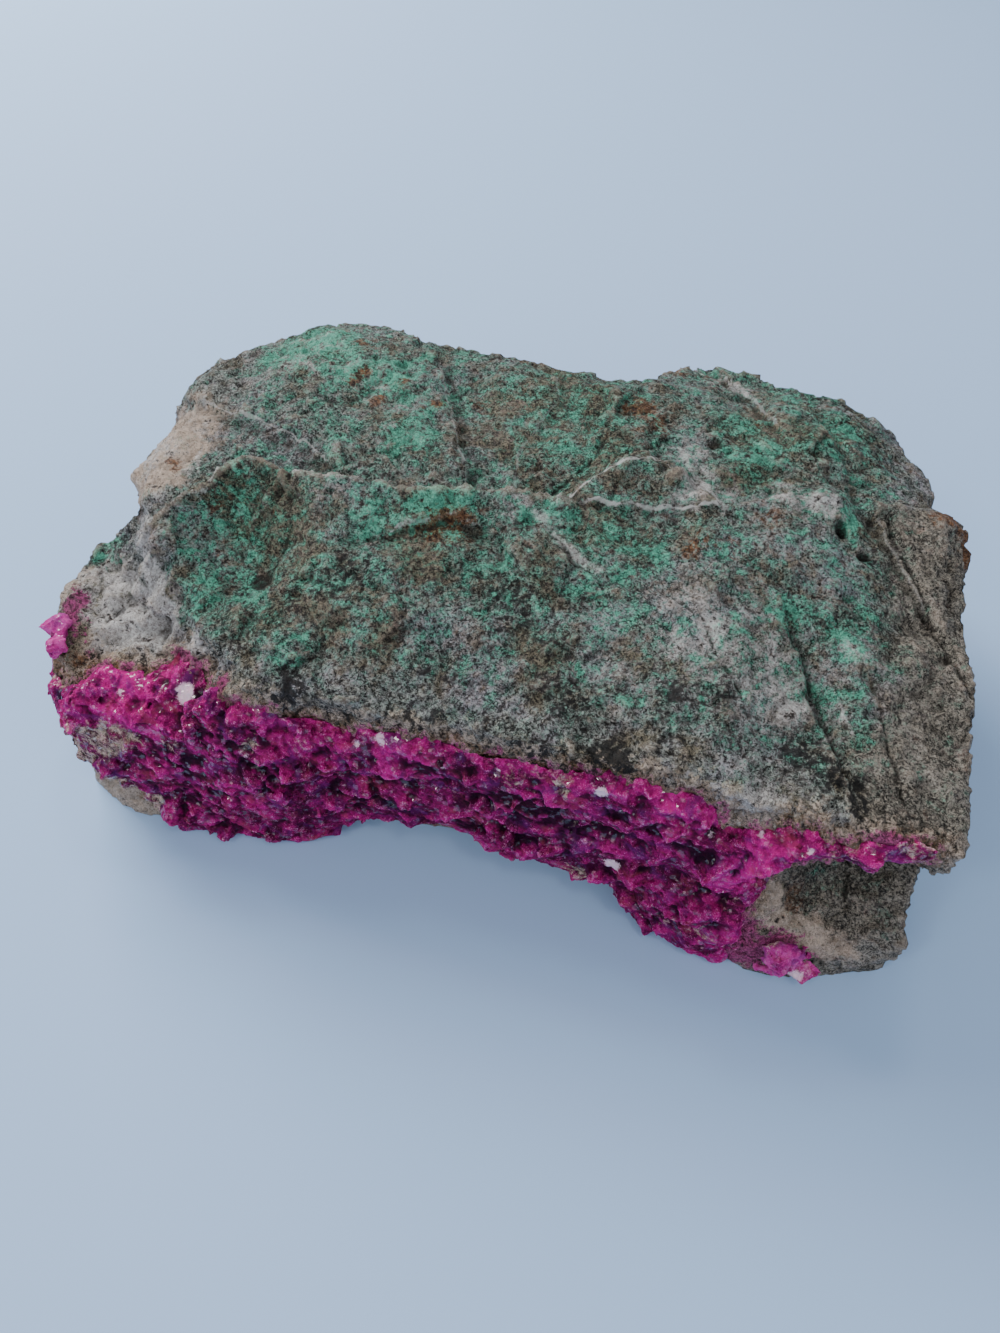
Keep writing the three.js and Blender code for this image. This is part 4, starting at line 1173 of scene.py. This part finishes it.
def crystal_finish(name, deep, full, hot, pale):
    glass = Finish(
        name, IOR=1.6, Specular_IOR_Level=0.0, Transmission_Weight=0.15,
        Subsurface_Weight=0.2, Subsurface_Scale=0.001, Subsurface_Radius=(1.0, 0.1, 0.7),
        Coat_Roughness=0.03, Coat_IOR=1.6,
    )
    place = glass.place()
    veil = glass.grain(place, 1.2, 5, 0.68, 0.6)
    zone = glass.grain(place, 6.0, 3, 0.5)
    fibre = glass.grain(place, 0.34, 4, 0.8, 1.8)
    facet, spark, _ = glass.chances(glass.bent(place, 0.6, 0.25), 0.6)
    tone, stand = glass.mark("tone"), glass.mark("stand")
    # stand makes the tips brighter: a painted highlight.
    level = tone * 0.5 + zone * 0.7 + stand * 0.6 + glass.mark("bright") + facet * 0.3 - 0.15
    cloud = (veil - 0.5) * 1.1 + (fibre - 0.5) * 2.0
    body = glass.mix(deep, full, glass.rise(level + cloud, 0.3, 0.9))
    body = glass.mix(body, hot, glass.rise(level + cloud, 0.75, 1.35) * 0.85)
    tint = glass.grain(place, 3.4, 4, 0.6, 0.8)
    body = glass.mix(body, VIOLET, glass.rise(tint, 0.52, 0.66) * 0.55)
    body = glass.mix(body, ROSE, glass.rise(tint, 0.45, 0.34) * 0.35)
    # Pale streaks follow the fibres, and the edge mark adds a painted highlight on convex edges.
    streak = glass.rise(glass.mark("edge") + cloud + (fibre - 0.5) * 1.5, 0.34, 0.72)
    body = glass.mix(body, pale, streak * 0.65)
    # Painted shade in the gaps between crystals and in the marked crevices.
    gap = glass.rise(
        glass.mark("dark") - stand * 1.3 + (zone - 0.5) + (fibre - 0.5) * 0.9, 0.12, 0.6
    )
    body = glass.mix(body, GAP_SHADE, gap * 0.9)
    earth = glass.rise(
        glass.mark("earth") + glass.mark("contact") * 0.35 + (veil - 0.5) * 2.0, 0.45, 0.85
    )
    dirt = glass.mix(BROWN_DARK, BEIGE, glass.rise(fibre + (veil - 0.5), 0.35, 0.75))
    body = glass.mix(body, dirt, earth * 0.8)
    # Frosted pale zones and painted glints, near white.
    frost_and_glint = glass.rise(glass.mark("frost_and_glint") + (veil - 0.5) * 1.2 + (fibre - 0.5), 0.5, 0.8)
    body = glass.mix(body, FROST_AND_GLINT, frost_and_glint * 0.85)
    glass.paint("Base Color", body)
    glass.paint("Roughness", 0.35 + 0.25 * glass.mark("polish") + 0.2 * earth)
    glass.paint("Coat Weight", glass.rise(spark, 0.84, 0.86) + frost_and_glint)
    glass.relief(fibre + facet * 0.3, 0.08)
    return glass.material


MAGENTA = crystal_finish(
    "magenta calcite", deep=colour(68, 0, 44), full=colour(146, 0, 94),
    hot=colour(206, 28, 142), pale=colour(240, 176, 218),
)
PINK = crystal_finish(
    "pale pink calcite", deep=colour(110, 14, 80), full=colour(190, 40, 140),
    hot=colour(222, 96, 178), pale=colour(236, 170, 212),
)
for piece, node, slot, finish in (
    (crust, "crystal_crust", "magenta_crystal", MAGENTA),
    (left_patch, "left_end_crystals", "pale_crystal", PINK),
    (foot_patch, "foot_crystals", "pale_crystal", PINK),
):
    piece.data.materials.clear()
    piece.data.materials.append(finish)
    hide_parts(node)
    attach(piece, "root")

# %% [markdown]
# ## The floor
#
# A plain pale floor, much wider than the block, so that it fills the view.

# %% Floor
FLOOR_EDGE = 1.5  # metres from the middle
PALE_BLUE = colour(168, 200, 240)

paper = Finish("pale paper", Roughness=0.9)
paper.paint("Base Color", PALE_BLUE)
sheet = bpy.data.meshes.new("floor")
corners = [(x * FLOOR_EDGE, y * FLOOR_EDGE, 0) for x, y in ((-1, -1), (1, -1), (1, 1), (-1, 1))]
sheet.from_pydata(corners, [], [(0, 1, 2, 3)])
sheet.materials.append(paper.material)
floor = new_object("floor", sheet)
